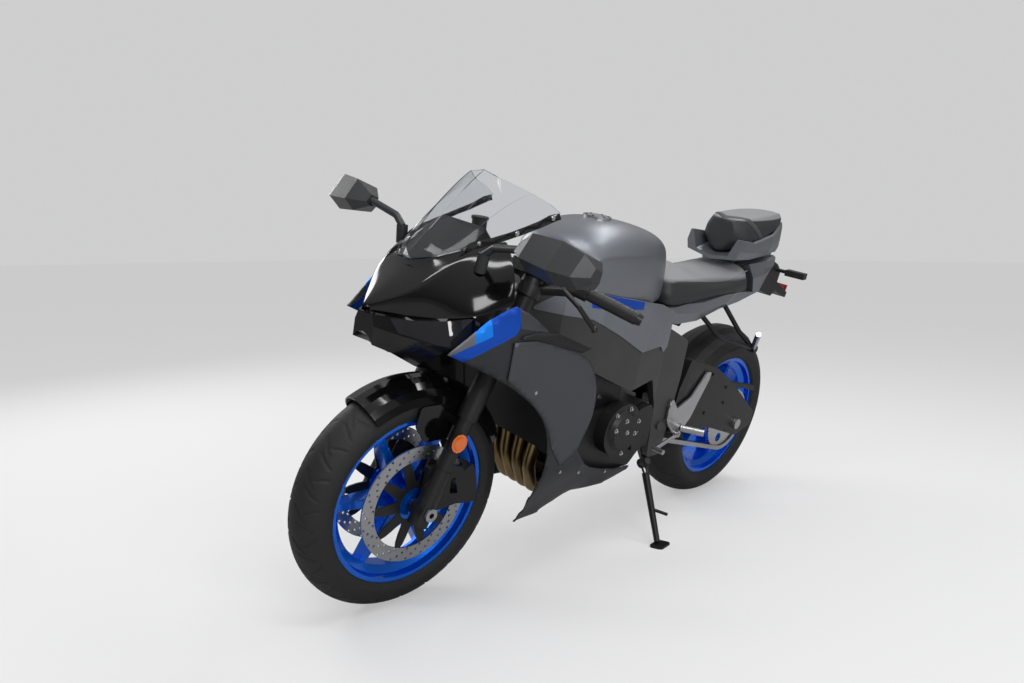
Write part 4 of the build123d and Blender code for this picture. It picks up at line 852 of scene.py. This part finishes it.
# each step across the strap: its place, as a share of the width, and its lift off the pad
strap_section = ((-0.5, 0.4), (-0.42, 2.0), (0.0, 2.0), (0.42, 2.0), (0.5, 0.4))
strap_rows = []
for step in range(strap_steps + 1):
    turn = strap_wrap * (2 * step / strap_steps - 1)
    outward = Vector((0, math.sin(turn), math.cos(turn)))
    middle = strap_front - strap_sweep * (abs(turn) / strap_wrap) ** sweep_power
    row = []
    for share, lift in strap_section:
        x = middle + share * strap_width
        hit = pad_skin.ray_cast(Vector((x, 0, high_inside if x < 0 else low_inside)), outward)[0]
        if hit:
            row.append(tuple(hit + outward * lift))
    if len(row) == len(strap_section):
        strap_rows.append(row)
put("pillion_strap", *skin(strap_rows), strap_vinyl, "chassis", "seat_vinyl")

# --- Tail ----------------------------------------------------------------------------------------
# Painted mouldings in the tank's silver: an upper cowl with two ears before the pillion pad, and a lower
# strip that rises behind the rider's seat. A black plastic hanger below carries a reflector and signals.
wear(tank_paint, "tail_cowl")


def soften(width, *names):
    """Rounds the moulded edges of carried-over pieces by this many millimetres."""
    for name in names:
        bevel = cad[name].modifiers.new("rounded_edges", "BEVEL")
        bevel.width, bevel.segments = width / 1000, 3
        bevel.limit_method, bevel.angle_limit = "ANGLE", math.radians(12)


soften(4, "tail_cowl")
soften(2, "plate_bracket", "rear_signals")
wear(black_plastic, "plate_bracket", "rear_signals")
red_lens = speckled("red_lens", (0.30, 0.003, 0.003), metal=0.0, rough=0.12, coat=1.0, bump=0.0)
wear(red_lens, "tail_lamp")
hanger = [unlean @ v.co for v in cad["plate_bracket"].data.vertices]
plate_top, half_width, half_height, slope, lift = 790, 24, 20, 0.25, 6
tip = min((place for place in hanger if place.z < plate_top), key=lambda place: place.x)
rows = []
# each row: how far behind the hanger's tip, and how much smaller on every side
for behind, shrink in ((-2, 0), (1, 0), (5, 0), (6.5, 2)):
    wide, high = half_width - shrink, half_height - shrink
    rows.append([(tip.x - behind - slope * z, y, tip.z + lift + z)
                 for y, z in ((-wide, -high), (wide, -high), (wide, high), (-wide, high))])
put("rear_reflector", *skin(rows, closed=True, capped=True), red_lens, "chassis", "red_lens", smooth=False)

# --- Screen, dash and mirrors ----------------------------------------------------------------------
# A clear polycarbonate screen on silver button screws, black along its lower edges; behind it a plain
# black dash, and two faceted black mirrors on stalks.
screen_clear, shader, add, join = new_material("screen_clear")
shader.inputs["Base Color"].default_value = (0.84, 0.86, 0.88, 1)
shader.inputs["IOR"].default_value = 1.2
shader.inputs["Transmission Weight"].default_value = 1.0
place = add("ShaderNodeTexCoord")
haze = add("ShaderNodeTexNoise", Scale=5.0, Detail=2.0)
join(place, "Object", haze, "Vector")
vary_gloss(add, join, shader, haze, smoothest=0.01, roughest=0.035)
wear(screen_clear, "windscreen")
wear(black_plastic, "instrument_panel")
screen_skin = surface_of(cad["windscreen"].data)
wing_outline = [(1121, 1046), (1112, 1031), (1126, 1028), (1180, 1008), (1240, 989), (1310, 969),
                (1404, 943), (1396, 954), (1374, 967), (1330, 978), (1262, 998), (1187, 1023), (1150, 1040)]
screen_screws = ((1140, 1034), (1352, 966), (1250, 994))
for side, word in left_and_right:
    draped(f"screen_wing_{word}", wing_outline, screen_skin, side, black_lacquer, "gloss_black", lift=1.6,
           wall=2.0)
    bolt_heads(f"screen_screws_{word}", seats_on(screen_skin, screen_screws, side, lift=1.6),
               (0, side, 0), radius=5, height=3, body="chassis", slot="steel", sides=16)
mirror_black = speckled("mirror_black", (0.030, 0.031, 0.033), metal=0.1, rough=0.4, bump=0.15)
wear(mirror_black, "mirrors")
soften(3, "mirrors", "instrument_panel")

# --- Footrests and stand ---------------------------------------------------------------------------
# Forged alloy footrests with heel plates, black tube hangers with bright pillion pegs, and a black
# steel side stand with a flat foot and a kick-down tab.
wear(bright_alloy, "footrest_left", "footrest_right")
wear(black_alloy, "side_stand", "pillion_footrests")
peg = [(38, 165, 613), (72, 185, 645), (107, 206, 678)]
for side, word in left_and_right:
    tube(f"pillion_peg_{word}", [(x, side * y, z) for x, y, z in peg], radius=9.8, finish=bright_alloy,
         body="chassis")
